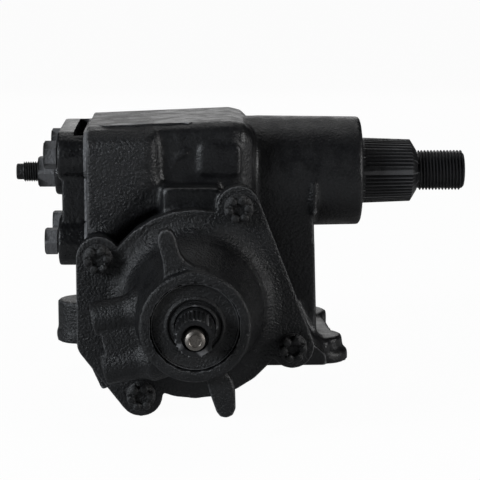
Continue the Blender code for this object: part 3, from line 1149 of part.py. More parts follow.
def cover_bolt(place):
    """A hexagon bolt of the side cover, with a chamfered head and a washer face."""
    seat = COVER_INNER - COVER_THICKNESS - FIT
    corners = COVER_BOLT_AF / math.sqrt(3.0)
    top = seat - COVER_BOLT_HEAD
    face = COVER_BOLT_AF / 2.0 - FIT
    shank = turned([(seat - OVERLAP, 0.0), (seat - OVERLAP, face), (seat, face), (seat, COVER_BOLT_SHANK),
                    (CHAMBER_LEFT + COVER_BOLT_DEPTH - 3.0 * OVERLAP, COVER_BOLT_SHANK),
                    (CHAMBER_LEFT + COVER_BOLT_DEPTH - 2.0 * OVERLAP, COVER_BOLT_SHANK - OVERLAP),
                    (CHAMBER_LEFT + COVER_BOLT_DEPTH - 2.0 * OVERLAP, 0.0)], "X", place, EDGE_SIDES)
    head = stack("X", [(top, hexagon(place, corners - 1.5 * OVERLAP)), (top + OVERLAP, hexagon(place, corners)),
                       (seat - OVERLAP / 2.0, hexagon(place, corners))])
    return joined(shank, head)


def lash_screw():
    """The lash adjuster: plain tip outside, threaded shank and a head inside the end of the sector shaft."""
    tip = COVER_INNER - COVER_THICKNESS - COVER_BOSS - LASH_OUT
    shoulder = tip + LASH_TIP_LENGTH
    head = CHAMBER_LEFT - COVER_SHAFT_DEPTH + FIT
    return turned([(tip, 0.0), (tip, LASH_TIP_RADIUS - FIT), (tip + FIT, LASH_TIP_RADIUS),
                   (shoulder, LASH_TIP_RADIUS), (shoulder + OVERLAP, LASH_RADIUS), (head, LASH_RADIUS),
                   (head, LASH_POCKET - RUNNING), (head + LASH_POCKET_DEPTH - 2.0 * FIT, LASH_POCKET - RUNNING),
                   (head + LASH_POCKET_DEPTH - 2.0 * FIT, 0.0)], "X", (0.0, SECTOR_HEIGHT), FINE_SIDES)


def jam_nut():
    """The jam nut that locks the lash adjuster against the side cover."""
    seat = COVER_INNER - COVER_THICKNESS - COVER_BOSS - FIT
    place = (0.0, SECTOR_HEIGHT)
    corners = JAM_NUT_CORNERS / 2.0
    nut = stack("X", [(seat - JAM_NUT_HEIGHT, hexagon(place, corners - 1.5 * OVERLAP)),
                      (seat - JAM_NUT_HEIGHT + OVERLAP, hexagon(place, corners)),
                      (seat, hexagon(place, corners))])
    return carved(nut, bore("X", seat - JAM_NUT_HEIGHT - OVERLAP, seat + OVERLAP, LASH_RADIUS + FIT, place))


def snap_ring(axis, place, bore, centre, lug):
    """A sprung retaining ring with a gap between its two lugs."""
    outer = bore + SNAP_RING_DEPTH - FIT
    inner = bore - SNAP_RING_DEPTH
    whole = ring(axis, place, place + SNAP_RING, inner, outer, centre, FINE_SIDES)
    gap = lug * 0.6
    if axis == "X":
        opening = block((place - OVERLAP, place + SNAP_RING + OVERLAP), (centre[0] - gap, centre[0] + gap),
                        (centre[1] - outer - OVERLAP, centre[1] - inner + OVERLAP))
    else:
        opening = block((centre[0] - gap, centre[0] + gap), (place - OVERLAP, place + SNAP_RING + OVERLAP),
                        (centre[1] - outer - OVERLAP, centre[1] - inner + OVERLAP))
    return carved(whole, opening)


def sector_pieces(finishes, carrier, fixed):
    """The sector shaft with its bush, bearings, seals and retaining ring."""
    sector = (0.0, SECTOR_HEIGHT)
    piece("sector_shaft", sector_shaft(), finishes["shaft"], carrier)
    bush = COVER_JOURNAL + FIT
    piece("side_cover_bush", ring("X", CHAMBER_LEFT - COVER_SHAFT_DEPTH,
                                  CHAMBER_LEFT + COVER_HUB_LENGTH - OVERLAP, bush, bush + BUSH_WALL, sector),
          finishes["bronze"], fixed)
    bearing = (MAIN_JOURNAL + FIT, TUBE_BORE - FIT, sector)
    piece("sector_bearing_inner", ring("X", *INNER_BEARING, *bearing), finishes["bright"], fixed)
    piece("sector_bearing_outer", ring("X", *OUTER_BEARING, *bearing), finishes["bright"], fixed)
    low = TUBE_END - SEAL_BORE_DEPTH + FIT
    piece("sector_oil_seal", lip_seal("X", low, low + SECTOR_SEAL, MAIN_JOURNAL + FIT, SEAL_BORE - FIT, sector),
          finishes["rubber"], fixed)
    low += SECTOR_SEAL + FIT
    piece("sector_dust_seal", lip_seal("X", low, SHAFT_RING_PLACE - FIT, MAIN_JOURNAL + FIT, SEAL_BORE - FIT,
                                       sector), finishes["rubber"], fixed)
    piece("sector_retaining_ring", snap_ring("X", SHAFT_RING_PLACE, SEAL_BORE, sector, 5.0 * OVERLAP),
          finishes["steel"], fixed)


def rear_pieces(finishes, fixed):
    """The rear closure: plug, its seal ring and the retaining ring behind it."""
    axis = (0.0, WORM_HEIGHT)
    high = SNAP_RING_PLACE - FIT
    low = high - END_PLUG_THICKNESS
    radius = CYLINDER_BORE - FIT
    groove = low + 3.0 * OVERLAP
    plug = turned([(low, 0.0), (low, radius - OVERLAP), (low + OVERLAP, radius), (groove, radius),
                   (groove, radius - RING_DEPTH), (groove + RING_WIDTH, radius - RING_DEPTH),
                   (groove + RING_WIDTH, radius), (high, radius), (high, radius - 5.0 * OVERLAP),
                   (high - 2.0 * OVERLAP, radius - 8.0 * OVERLAP), (high - 2.0 * OVERLAP, 0.0)],
                  "Y", axis, FINE_SIDES)
    piece("end_plug", plug, finishes["black"], fixed)
    piece("end_plug_oring", ring("Y", groove + FIT, groove + RING_WIDTH - FIT, radius - RING_DEPTH + FIT / 2.0,
                                 CYLINDER_BORE - FIT / 3.0, axis, FINE_SIDES), finishes["rubber"], fixed)
    piece("end_plug_ring", snap_ring("Y", SNAP_RING_PLACE, CYLINDER_BORE, axis, 7.0 * OVERLAP),
          finishes["steel"], fixed)


def casing_pieces(finishes, fixed):
    """The castings with their bolts, gasket, lash adjuster and port seats."""
    piece("gear_housing", gear_housing(), finishes["black"], fixed)
    piece("valve_housing", valve_housing(), finishes["black"], fixed)
    piece("side_cover", side_cover(), finishes["black"], fixed)
    piece("side_cover_gasket", side_cover_gasket(), finishes["rubber"], fixed)
    for number, place in enumerate(cover_bolt_places(), 1):
        piece(f"side_cover_bolt_{number}", cover_bolt(place), finishes["black"], fixed)
    for number, place in enumerate(bolt_places(), 1):
        piece(f"valve_housing_bolt_{number}", valve_bolt(place), finishes["black"], fixed)
    piece("lash_adjuster_screw", lash_screw(), finishes["black"], fixed)
    piece("adjuster_jam_nut", jam_nut(), finishes["black"], fixed)
    for number, (offset, radius) in enumerate(PORTS, 1):
        piece(f"port_seat_{number}", port_seat(offset), finishes["bronze"], fixed)


def main():
    """Builds the steering gear, assembly by assembly."""
    clear_scene()
    finishes = {
        "black": material("black_paint", (0.030, 0.030, 0.032), 0.45, 0.0),
        "shaft": material("black_shaft", (0.032, 0.032, 0.034), 0.35, 0.3),
        "steel": material("ground_steel", (0.35, 0.35, 0.36), 0.35, 1.0),
        "bright": material("bright_steel", (0.55, 0.53, 0.50), 0.25, 1.0),
        "bronze": material("bearing_bronze", (0.45, 0.30, 0.14), 0.40, 1.0),
        "rubber": material("black_rubber", (0.020, 0.020, 0.021), 0.70, 0.0),
        "polymer": material("seal_polymer", (0.10, 0.07, 0.05), 0.50, 0.0),
    }
    fixed = assembly("castings", (0.0, 0.0, 0.0))
    sector = assembly("sector_axis", (0.0, 0.0, SECTOR_HEIGHT))
    rack = assembly("rack_axis", (0.0, 0.0, WORM_HEIGHT))
    worm = assembly("worm_axis", (0.0, 0.0, WORM_HEIGHT))
    twist = assembly("input_axis", (0.0, 0.0, WORM_HEIGHT))
    casing_pieces(finishes, fixed)
    sector_pieces(finishes, sector, fixed)
    rear_pieces(finishes, fixed)
    piston_pieces(finishes, rack)
    worm_pieces(finishes, worm, twist, fixed)


main()
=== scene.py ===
"""The steering gear dressed for its picture: cast skins, threads, lobed bolts, seals and their finishes.

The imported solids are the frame. Each sub-assembly is a class that holds its own sizes, builds the pieces that
the solids leave plain and gives every surface its finish.
"""
import json
import logging
import math
from dataclasses import dataclass, field, replace
from enum import Enum

import bpy
from mathutils import Matrix, Vector


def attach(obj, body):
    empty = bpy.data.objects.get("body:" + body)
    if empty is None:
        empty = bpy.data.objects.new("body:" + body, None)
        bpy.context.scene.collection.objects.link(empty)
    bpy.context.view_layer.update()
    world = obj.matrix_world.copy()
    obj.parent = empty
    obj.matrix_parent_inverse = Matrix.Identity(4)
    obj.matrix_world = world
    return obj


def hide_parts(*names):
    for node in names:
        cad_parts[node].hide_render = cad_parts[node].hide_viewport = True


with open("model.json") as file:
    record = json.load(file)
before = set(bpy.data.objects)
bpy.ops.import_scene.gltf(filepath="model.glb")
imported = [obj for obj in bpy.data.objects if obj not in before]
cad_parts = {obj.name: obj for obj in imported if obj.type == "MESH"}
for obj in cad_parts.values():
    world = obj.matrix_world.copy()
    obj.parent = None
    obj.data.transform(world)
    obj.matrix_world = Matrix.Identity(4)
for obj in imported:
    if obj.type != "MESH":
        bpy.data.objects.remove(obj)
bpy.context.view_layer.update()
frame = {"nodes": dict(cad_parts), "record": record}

LOG = logging.getLogger("steering_gear")
MM = 0.001
WHITE = (1.0, 1.0, 1.0)
SECTOR_LINE = tuple(Vector((0.0, 0.104)))  # Y and Z of the sector shaft's axis
WORM_LINE = tuple(Vector((0.0, 0.043)))  # X and Z of the worm's axis
WELD = 1e-6  # points nearer than this are one point
CUT_TOLERANCE = 1e-7  # the default of 0.1 mm would leave fine threads open
Socket = bpy.types.NodeSocket
Thing = bpy.types.Object


def mm(*values: float) -> tuple:
    """Turns sizes in millimetres into metres."""
    return tuple(value * MM for value in values)


class Body(Enum):
    """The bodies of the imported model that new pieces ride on."""

    CASTINGS = "castings"
    SECTOR = "sector"
    INPUT = "input"


class Slot(Enum):
    """The material slots of the record."""

    CASTING = "black_casting"
    FASTENER = "black_fastener"
    SHAFT = "black_shaft"
    GROUND = "ground_steel"
    BRIGHT = "bright_steel"
    BRONZE = "bronze"
    RUBBER = "seal_rubber"
    POLYMER = "seal_polymer"


class Graph:
    """A material's node tree, built link by link."""

    def __init__(self, name: str) -> None:
        """Starts a material with its shader and its Object coordinates.

        Args:
            name: The material's name.
        """
        self.material = bpy.data.materials.new(name)
        self.material.use_nodes = True
        self.tree = self.material.node_tree
        self.shader = self.tree.nodes["Principled BSDF"]
        self.place = self.add("ShaderNodeTexCoord").outputs["Object"]

    def add(self, kind: str, **values: object) -> bpy.types.Node:
        """Adds a node.

        Args:
            kind: The node's type.
            values: Properties of the node, or values of its inputs by name.

        Returns:
            The new node.
        """
        node = self.tree.nodes.new(kind)
        for key, value in values.items():
            title = key.replace("_", " ").title()
            if hasattr(node, key):
                setattr(node, key, value)
            else:
                node.inputs[title].default_value = value
        return node

    def link(self, out: Socket, into: Socket) -> None:
        """Links one socket to another."""
        self.tree.links.new(out, into)

    def noise(self, size: float, detail: float = 3.0, roughness: float = 0.55) -> Socket:
        """A noise pattern in Object coordinates.

        Args:
            size: The pattern's grain in metres.
            detail: Octaves of detail.
            roughness: How much the finer octaves show.

        Returns:
            The noise value.
        """
        node = self.add("ShaderNodeTexNoise", scale=1.0 / size, detail=detail, roughness=roughness)
        self.link(self.place, node.inputs["Vector"])
        return node.outputs["Fac"]

    def ramp(self, value: Socket, stops: tuple, colours: tuple) -> Socket:
        """Turns a value into a colour.

        Args:
            value: The value between 0 and 1.
            stops: Where the two ends of the ramp lie.
            colours: The two colours, each of three numbers.

        Returns:
            The ramp's colour.
        """
        node = self.add("ShaderNodeValToRGB")
        self.link(value, node.inputs["Fac"])
        for element, stop, colour in zip(node.color_ramp.elements, stops, colours):
            element.position = stop
            element.color = (*colour, 1.0)
        return node.outputs["Color"]

    def bump(self, height: Socket, strength: float, distance: float,
             normal: Socket = None) -> Socket:
        """A bump made from a height.

        Args:
            height: The height pattern.
            strength: How strongly the bump shows.
            distance: The depth of the bump in metres.
            normal: The normal that the bump starts from.

        Returns:
            The bent normal.
        """
        node = self.add("ShaderNodeBump", strength=strength, distance=distance)
        self.link(height, node.inputs["Height"])
        if normal is not None:
            self.link(normal, node.inputs["Normal"])
        return node.outputs["Normal"]

    def peel(self, size: float, fine: Socket) -> Socket:
        """A leathery height pattern of rounded cells with fine grain on them.

        Args:
            size: The width of a cell in metres.
            fine: The fine grain.

        Returns:
            The height.
        """
        cells = self.add("ShaderNodeTexVoronoi", feature="SMOOTH_F1", scale=1.0 / size)
        self.link(self.place, cells.inputs["Vector"])
        depth = -0.9  # how deep the cells are beside the fine grain
        return self.maths("MULTIPLY_ADD", cells.outputs["Distance"], depth, fine)

    def span(self, value: Socket, source: tuple, target: tuple = (0.0, 1.0)) -> Socket:
        """Maps one range of values to another.

        Args:
            value: The value.
            source: The two ends of the range that it comes from.
            target: The two ends of the range that it goes to.

        Returns:
            The mapped value.
        """
        node = self.add("ShaderNodeMapRange")
        for name, number in zip(("From Min", "From Max", "To Min", "To Max"), (*source, *target)):
            node.inputs[name].default_value = number
        self.link(value, node.inputs["Value"])
        return node.outputs["Result"]

    def zone(self, calm: tuple) -> Socket:
        """A share that falls from 1 along X.

        Args:
            calm: Where it starts to fall, where it ends and the share that is left.

        Returns:
            The share.
        """
        split = self.add("ShaderNodeSeparateXYZ")
        self.link(self.place, split.inputs[0])
        start, end, left = calm
        return self.span(split.outputs["X"], (start, end), (1.0, left))

    def maths(self, operation: str, *values: object) -> Socket:
        """The result of a Math node.

        Args:
            operation: What it does.
            values: What it takes, as sockets or numbers.

        Returns:
            The result.
        """
        node = self.add("ShaderNodeMath", operation=operation)
        for into, value in zip(node.inputs, values):
            if isinstance(value, float):
                into.default_value = value
            else:
                self.link(value, into)
        return node.outputs[0]

    def blend(self, share: Socket, colour: Socket, other: tuple) -> Socket:
        """Blends a colour towards another.

        Args:
            share: How much of the other colour shows.
            colour: The colour that shows where the share is 0.
            other: The other colour, of three numbers.

        Returns:
            The blended colour.
        """
        node = self.add("ShaderNodeMix", data_type="RGBA")
        self.link(share, node.inputs[0])
        self.link(colour, node.inputs[6])
        node.inputs[7].default_value = (*other, 1.0)
        return node.outputs[2]

    def wear_and_highlight_edges(self, reach: float) -> Socket:
        """How near a surface is to an edge, from pointiness; it masks the edge wear and the painted highlight on the
        edges.

        Args:
            reach: How far the ramp runs past the flat value.

        Returns:
            A value from 0 on flats to 1 on sharp outer edges.
        """
        flat, start = 0.5, 0.4
        geometry = self.add("ShaderNodeNewGeometry")
        return self.span(geometry.outputs["Pointiness"], (flat + reach * start, flat + reach))


@dataclass(frozen=True)
class Paint:
    """Satin paint over cast iron or steel."""

    name: str  # the material's name
    dark: tuple  # the colour of the paint in the hollows of its grain
    light: tuple  # the colour of the paint on the tops of its grain
    roughness: tuple  # the lowest and highest roughness
    grain: float  # the size of the casting's grain in metres
    depth: float  # the depth of the grain in metres
    metallic: float = 0.0  # how metallic the surface is
    wear_and_highlight: tuple = (0.05, 0.05, 0.052)  # the colour on the edges: partly wear, partly a painted highlight
    reach: float = 0.1  # how far the wear and the painted highlight run from the edges
    calm: tuple = ()  # where along X the grain fades, and the share that is left of it

    def build(self) -> bpy.types.Material:
        """Builds the finish.

        Returns:
            The material.
        """
        graph = Graph(self.name)
        shader = graph.shader
        fine = graph.noise(self.grain, 4.0, 0.6)
        broad = graph.noise(self.grain * 9.0, 2.0)
        peel = graph.peel(self.grain * 1.6, fine)
        colour = graph.ramp(fine, (0.35, 0.68), (self.dark, self.light))
        # Lighter edges from pointiness: partly wear, partly a painted highlight
        graph.link(graph.blend(graph.wear_and_highlight_edges(self.reach), colour, self.wear_and_highlight), shader.inputs["Base Color"])
        graph.link(graph.span(broad, (0.35, 0.65), self.roughness), shader.inputs["Roughness"])
        swell = graph.bump(broad, 0.5, self.depth)
        if self.calm:
            peel = graph.maths("MULTIPLY", peel, graph.zone(self.calm))
        graph.link(graph.bump(peel, 1.0, self.depth, swell), shader.inputs["Normal"])
        shader.inputs["Metallic"].default_value = self.metallic
        return graph.material


# The eighth value of each paint is its edge colour, partly wear and partly a painted highlight
VALVE_PAINT = Paint("cast_black_valve", (0.004, 0.004, 0.0045), (0.011, 0.0113, 0.0125), (0.32, 0.5),
                    0.8 * MM, 0.42 * MM, 0.0, (0.22, 0.22, 0.226), 0.08)
COVER_PAINT = Paint("cast_black_cover", (0.005, 0.005, 0.0055), (0.013, 0.0133, 0.0145), (0.24, 0.38),
                    1.1 * MM, 0.26 * MM, 0.0, (0.12, 0.12, 0.123), 0.08)
FINISHES = {
    Slot.CASTING: Paint("cast_black", (0.005, 0.005, 0.0055), (0.015, 0.0153, 0.0168), (0.3, 0.46),
                        0.9 * MM, 0.5 * MM, 0.0, (0.26, 0.26, 0.267), 0.08),
    Slot.FASTENER: Paint("fastener_black", (0.004, 0.004, 0.0043), (0.011, 0.011, 0.0117), (0.4, 0.58),
                         0.8 * MM, 0.4 * MM, 0.0, (0.15, 0.15, 0.154), 0.12),
    Slot.SHAFT: Paint("shaft_black", (0.010, 0.010, 0.011), (0.024, 0.024, 0.0255), (0.3, 0.45),
                      0.8 * MM, 0.12 * MM, 0.25, (0.2, 0.2, 0.205), 0.12),
    Slot.GROUND: Paint("steel_ground", (0.34, 0.34, 0.35), (0.46, 0.46, 0.47), (0.28, 0.4),
                       0.5 * MM, 0.01 * MM, 1.0, (0.55, 0.55, 0.56)),
    Slot.BRIGHT: Paint("steel_bright", (0.16, 0.145, 0.13), (0.30, 0.275, 0.25), (0.34, 0.46),
                       0.6 * MM, 0.05 * MM, 1.0, (0.5, 0.47, 0.44)),
    Slot.BRONZE: Paint("bearing_bronze", (0.4, 0.26, 0.12), (0.52, 0.36, 0.18), (0.3, 0.42),
                       0.6 * MM, 0.01 * MM, 1.0, (0.6, 0.44, 0.24)),
    Slot.RUBBER: Paint("rubber_black", (0.012, 0.012, 0.012), (0.022, 0.022, 0.022), (0.55, 0.75),
                       0.7 * MM, 0.03 * MM, 0.0, (0.03, 0.03, 0.03)),
    Slot.POLYMER: Paint("polymer_brown", (0.07, 0.045, 0.03), (0.11, 0.075, 0.05), (0.4, 0.55),
                        0.7 * MM, 0.02 * MM, 0.0, (0.14, 0.10, 0.07)),
}
HOUSING_PAINT = replace(FINISHES[Slot.CASTING], name="cast_black_housing", calm=(*mm(-26.0, -17.0), 0.35))


@dataclass
class Studio:
    """The camera, the floor and the lamps."""

    eye: Vector = field(default_factory=lambda: Vector((-0.0013, -1.027, 0.246)))  # where the camera stands
    target: Vector = field(default_factory=lambda: Vector((0.0256, 0.0, 0.0648)))  # what it looks at
    lens: float = 139.65  # its focal length in millimetres on a 36 mm sensor
    floor_height: float = -18.2 * MM  # the height of the floor
    floor_size: float = 14.0  # the floor's width in metres
    floor_grey: float = 0.6  # the floor's own colour
    floor_glow: float = 1.04  # how bright the white is that the camera sees in its place
    floor_white: float = 0.93  # the share of that white
    daylight: float = 0.22  # how bright the white surroundings are for everything but the camera
    aim: tuple = (0.02, 0.0, 0.05)  # what the lamps point at
    # Each lamp's name, place, width in metres, power in watts and colour
    lamps: tuple = (
        ("overhead", (0.0, 0.5, 1.3), 0.9, 2.2, WHITE),
        ("backdrop", (0.0, 1.6, 0.6), 0.9, 2.6, WHITE),
        ("front_left", (-1.15, -0.8, 0.55), 0.5, 13.0, (0.9, 0.95, 1.0)),
        ("front_right", (1.2, -0.55, 0.4), 0.45, 6.5, WHITE),
    )

    def build(self) -> None:
        """Makes the camera, the floor, the lamps and the white surroundings."""
        self.camera()
        self.floor()
        for lamp in self.lamps:
            self.lamp(*lamp)
        self.surroundings()
        bpy.context.scene.view_settings.view_transform = "Standard"

    def stand(self, name: str, data: bpy.types.ID, place: Vector, aim: Vector) -> Thing:
        """Adds a camera or a lamp that faces a point.

        Args:
            name: Its name.
            data: Its settings.
            place: Where it stands.
            aim: The point.

        Returns:
            The new object.
        """
        thing = bpy.data.objects.new(name, data)
        bpy.context.collection.objects.link(thing)
        thing.location = place
        thing.rotation_euler = (aim - place).to_track_quat("-Z", "Y").to_euler()
        return thing

    def camera(self) -> None:
        """Places the camera at the picture's viewing angle."""
        data = bpy.data.cameras.new("camera")
        data.lens = self.lens
        data.sensor_width = 36.0
        bpy.context.scene.camera = self.stand("camera", data, self.eye, self.target)

    def floor(self) -> None:
        """Lays the pale floor."""
        bpy.ops.mesh.primitive_plane_add(size=self.floor_size, location=(0.0, 0.0, self.floor_height))
        plane = bpy.context.active_object
        plane.name = "studio_floor"
        graph = Graph("floor_white")
        graph.shader.inputs["Base Color"].default_value = (*[self.floor_grey] * 3, 1.0)
        graph.shader.inputs["Roughness"].default_value = 0.9
        white = graph.add("ShaderNodeEmission", strength=self.floor_glow)
        path = graph.add("ShaderNodeLightPath")
        mix = graph.add("ShaderNodeMixShader")
        graph.link(graph.span(path.outputs["Is Camera Ray"], (0.0, 1.0), (0.0, self.floor_white)), mix.inputs[0])
        graph.link(graph.shader.outputs[0], mix.inputs[1])
        graph.link(white.outputs[0], mix.inputs[2])
        graph.link(mix.outputs[0], graph.tree.nodes["Material Output"].inputs["Surface"])
        plane.data.materials.append(graph.material)

    def lamp(self, name: str, place: tuple, size: float, power: float, colour: tuple) -> None:
        """Adds a soft square lamp that faces the gear.

        Args:
            name: The lamp's name.
            place: Where it hangs.
            size: Its width in metres.
            power: Its power in watts.
            colour: Its colour.
        """
        data = bpy.data.lights.new(name, "AREA")
        data.shape = "SQUARE"
        data.size = size
        data.energy = power
        data.color = colour
        self.stand(name, data, Vector(place), Vector(self.aim))

    def surroundings(self) -> None:
        """Fills the world with soft light, plain white to the camera."""
        world = bpy.data.worlds.new("studio")
        bpy.context.scene.world = world
        world.use_nodes = True
        tree = world.node_tree
        back = tree.nodes["Background"]
        path = tree.nodes.new("ShaderNodeLightPath")
        both = tree.nodes.new("ShaderNodeMath")
        both.operation = "MAXIMUM"
        tree.links.new(path.outputs["Is Camera Ray"], both.inputs[0])
        tree.links.new(path.outputs["Is Transmission Ray"], both.inputs[1])
        reach = tree.nodes.new("ShaderNodeMapRange")
        reach.inputs["To Min"].default_value = self.daylight
        tree.links.new(both.outputs[0], reach.inputs["Value"])
        tree.links.new(reach.outputs["Result"], back.inputs["Strength"])


def deselect() -> None:
    """Leaves edit mode and deselects every object."""
    if bpy.context.mode != "OBJECT":
        bpy.ops.object.mode_set(mode="OBJECT")
    bpy.ops.object.select_all(action="DESELECT")


def choose(thing: Thing) -> None:
    """Makes one object the only selected and active one.

    Args:
        thing: The object.
    """
    deselect()
    thing.select_set(True)
    bpy.context.view_layer.objects.active = thing


def edit_all(thing: Thing) -> None:
    """Opens a piece in edit mode with everything selected.

    Args:
        thing: The piece.
    """
    choose(thing)
    bpy.ops.object.mode_set(mode="EDIT")
    bpy.ops.mesh.select_all(action="SELECT")


def merged_copy(node: str, name: str) -> Thing:
    """A copy of a CAD node with its own mesh, merged into one closed surface.

    Args:
        node: The node's name.
        name: The new piece's name.

    Returns:
        The new piece.
    """
    thing = twin(frame["nodes"][node], name)
    thing.parent = None
    thing.matrix_world = Matrix.Identity(4)
    edit_all(thing)
    bpy.ops.mesh.remove_doubles(threshold=WELD)
    bpy.ops.mesh.customdata_custom_splitnormals_clear()
    bpy.ops.object.mode_set(mode="OBJECT")
    return thing


def apply_modifier(thing: Thing, kind: str, **values: object) -> None:
    """Adds a modifier to an object and applies it.

    Args:
        thing: The object.
        kind: The modifier's type.
        values: The modifier's properties.
    """
    choose(thing)
    modifier = thing.modifiers.new(kind.lower(), kind)
    for key, value in values.items():
        setattr(modifier, key, value)
    bpy.ops.object.modifier_apply(modifier=modifier.name)


def cylinder(axis: str, low: float, high: float, radius: float, centre: tuple, sides: int = 64) -> Thing:
    """A round bar along an axis, at its size and place.

    Args:
        axis: X, Y or Z.
        low: Where it starts along the axis.
        high: Where it ends along the axis.
        radius: Its radius.
        centre: Its two coordinates across the axis, in alphabetical order.
        sides: How many sides its circle has.

    Returns:
        The bar.
    """
    middle = (low + high) / 2.0
    place = {"X": (middle, *centre), "Y": (centre[0], middle, centre[1]), "Z": (*centre, middle)}[axis]
    turn = {"X": (0.0, math.pi / 2.0, 0.0), "Y": (math.pi / 2.0, 0.0, 0.0), "Z": (0.0, 0.0, 0.0)}[axis]
    deselect()
    bpy.ops.mesh.primitive_cylinder_add(vertices=sides, radius=radius, depth=high - low, location=place, rotation=turn)
    thing = bpy.context.active_object
    bpy.ops.object.transform_apply(location=True, rotation=True, scale=True)
    return thing


def spot(axis: str, along: float, across: float, up: float) -> Vector:
    """A point from its distance along an axis and its two coordinates across it."""
    return {"X": Vector((along, across, up)), "Y": Vector((across, along, up)), "Z": Vector((across, up, along))}[axis]


def polyline(points: list) -> Thing:
    """A chain of edges drawn point by point.

    Args:
        points: The points of the chain.

    Returns:
        The chain, left in edit mode with its last point selected.
    """
    deselect()
    bpy.ops.mesh.primitive_plane_add(size=MM, location=(0.0, 0.0, 0.0))
    thing = bpy.context.active_object
    bpy.ops.object.mode_set(mode="EDIT")
    bpy.ops.mesh.select_all(action="SELECT")
    bpy.ops.mesh.merge(type="CENTER")
    bpy.ops.transform.translate(value=points[0])
    for before, after in zip(points, points[1:]):
        bpy.ops.mesh.extrude_region_move(TRANSFORM_OT_translate={"value": after - before})
    return thing


def lathe(axis: str, profile: list, centre: tuple, sides: int = 96) -> Thing:
    """A turned piece, spun from its profile.

    Args:
        axis: The axis that it is turned about.
        profile: Its (along, radius) points; both ends on the axis, or the first point again at the end.
        centre: The two coordinates of the axis across it.
        sides: Steps of the spin.

    Returns:
        The turned piece.
    """
    thing = polyline([spot(axis, along, centre[0], centre[1] + radius) for along, radius in profile])
    bpy.ops.mesh.select_all(action="SELECT")
    bpy.ops.mesh.spin(steps=sides, angle=2.0 * math.pi, center=spot(axis, 0.0, *centre),
                      axis=spot(axis, 1.0, 0.0, 0.0), use_auto_merge=False)
    tidy_mesh()
    return thing


def tidy_mesh() -> None:
    """Merges doubled points, turns every face outwards and leaves edit mode."""
    bpy.ops.mesh.select_all(action="SELECT")
    bpy.ops.mesh.remove_doubles(threshold=2.0 * WELD)
    bpy.ops.mesh.dissolve_degenerate(threshold=CUT_TOLERANCE)
    bpy.ops.mesh.normals_make_consistent(inside=False)
    bpy.ops.object.mode_set(mode="OBJECT")


def cut(thing: Thing, place: Vector, normal: Vector, drop: str = "outer") -> None:
    """Cuts a closed piece at a plane and closes the cut.

    Args:
        thing: The piece.
        place: A point of the plane.
        normal: The plane's normal.
        drop: The side that goes: outer is where the normal points, inner is the other side.
    """
    edit_all(thing)
    bpy.ops.mesh.bisect(plane_co=place, plane_no=normal, use_fill=True, threshold=CUT_TOLERANCE,
                        clear_inner=drop == "inner", clear_outer=drop == "outer")
    tidy_mesh()


def turn_mesh(thing: Thing, angle: float, axis: str, place: Vector) -> None:
    """Turns a piece's mesh about an axis.

    Args:
        thing: The piece.
        angle: The angle in radians.
        axis: X, Y or Z.
        place: A point of the axis.
    """
    edit_all(thing)
    bpy.ops.transform.rotate(value=angle, orient_axis=axis, center_override=place)
    bpy.ops.object.mode_set(mode="OBJECT")


def steps(table: tuple, along: float, radius: float) -> list:
    """Turned (along, radius) points, from a table of their distances in millimetres to a corner."""
    return [(along + further * MM, radius + wider * MM) for further, wider in table]


def shank_points(seat: float, end: float, radius: float) -> list:
    """The (along, radius) points of a bolt's shank with its chamfered end."""
    return [(seat, radius), (end - MM, radius), (end, radius - MM), (end, 0.0)]


def threaded_rod(axis: str, low: float, high: float, radius: float, pitch: float, depth: float, centre: tuple,
                 sides: int = 64) -> Thing:
    """A rod with a true helical thread, cut flat at both ends.

    Args:
        axis: The rod's axis.
        low: Where it starts.
        high: Where it ends.
        radius: Its radius over the crests.
        pitch: The pitch of the thread.
        depth: The depth of the thread.
        centre: The two coordinates of the axis across it.
        sides: Steps in one turn.

    Returns:
        The threaded rod.
    """
    start = low - 1.5 * pitch
    count = round((high - low) / pitch) + 3
    points = []
    for tooth in range(count):
        base = start + tooth * pitch
        for share, drop in ((0.0, 1.0), (0.1, 1.0), (0.42, 0.0), (0.58, 0.0), (0.9, 1.0)):
            points.append(spot(axis, base + share * pitch, centre[0], centre[1] + radius - drop * depth))
    points.append(spot(axis, start + count * pitch, centre[0], centre[1] + radius - depth))
    thing = polyline(points)
    bpy.ops.object.mode_set(mode="OBJECT")
    thing.data.transform(Matrix.Translation(-spot(axis, 0.0, *centre)))
    apply_modifier(thing, "SCREW", axis=axis, angle=2.0 * math.pi, screw_offset=pitch, steps=sides,
                   render_steps=sides, iterations=1, use_merge_vertices=False)
    thing.data.transform(Matrix.Translation(spot(axis, 0.0, *centre)))
    bpy.ops.object.mode_set(mode="EDIT")
    tidy_mesh()
    for place, drop in ((low, "inner"), (high, "outer")):
        cut(thing, spot(axis, place, *centre), spot(axis, 1.0, 0.0, 0.0), drop)
    return thing


def twin(thing: Thing, name: str, move: tuple = (0.0, 0.0, 0.0)) -> Thing:
    """A moved copy of a piece, with its own mesh.

    Args:
        thing: The piece.
        name: The copy's name.
        move: How far the copy lies from the piece.

    Returns:
        The copy.
    """
    other = thing.copy()
    other.data = thing.data.copy()
    other.name = name
    bpy.context.collection.objects.link(other)
    other.data.transform(Matrix.Translation(move))
    return other


def combine(body: Thing, tool: Thing, operation: str) -> Thing:
    """Joins a tool to a body or cuts it away, and removes the tool.

    Args:
        body: The body.
        tool: The tool.
        operation: UNION, DIFFERENCE or INTERSECT.

    Returns:
        The body.
    """
    apply_modifier(body, "BOOLEAN", object=tool, operation=operation, solver="MANIFOLD")
    bpy.data.objects.remove(tool, do_unlink=True)
    return body


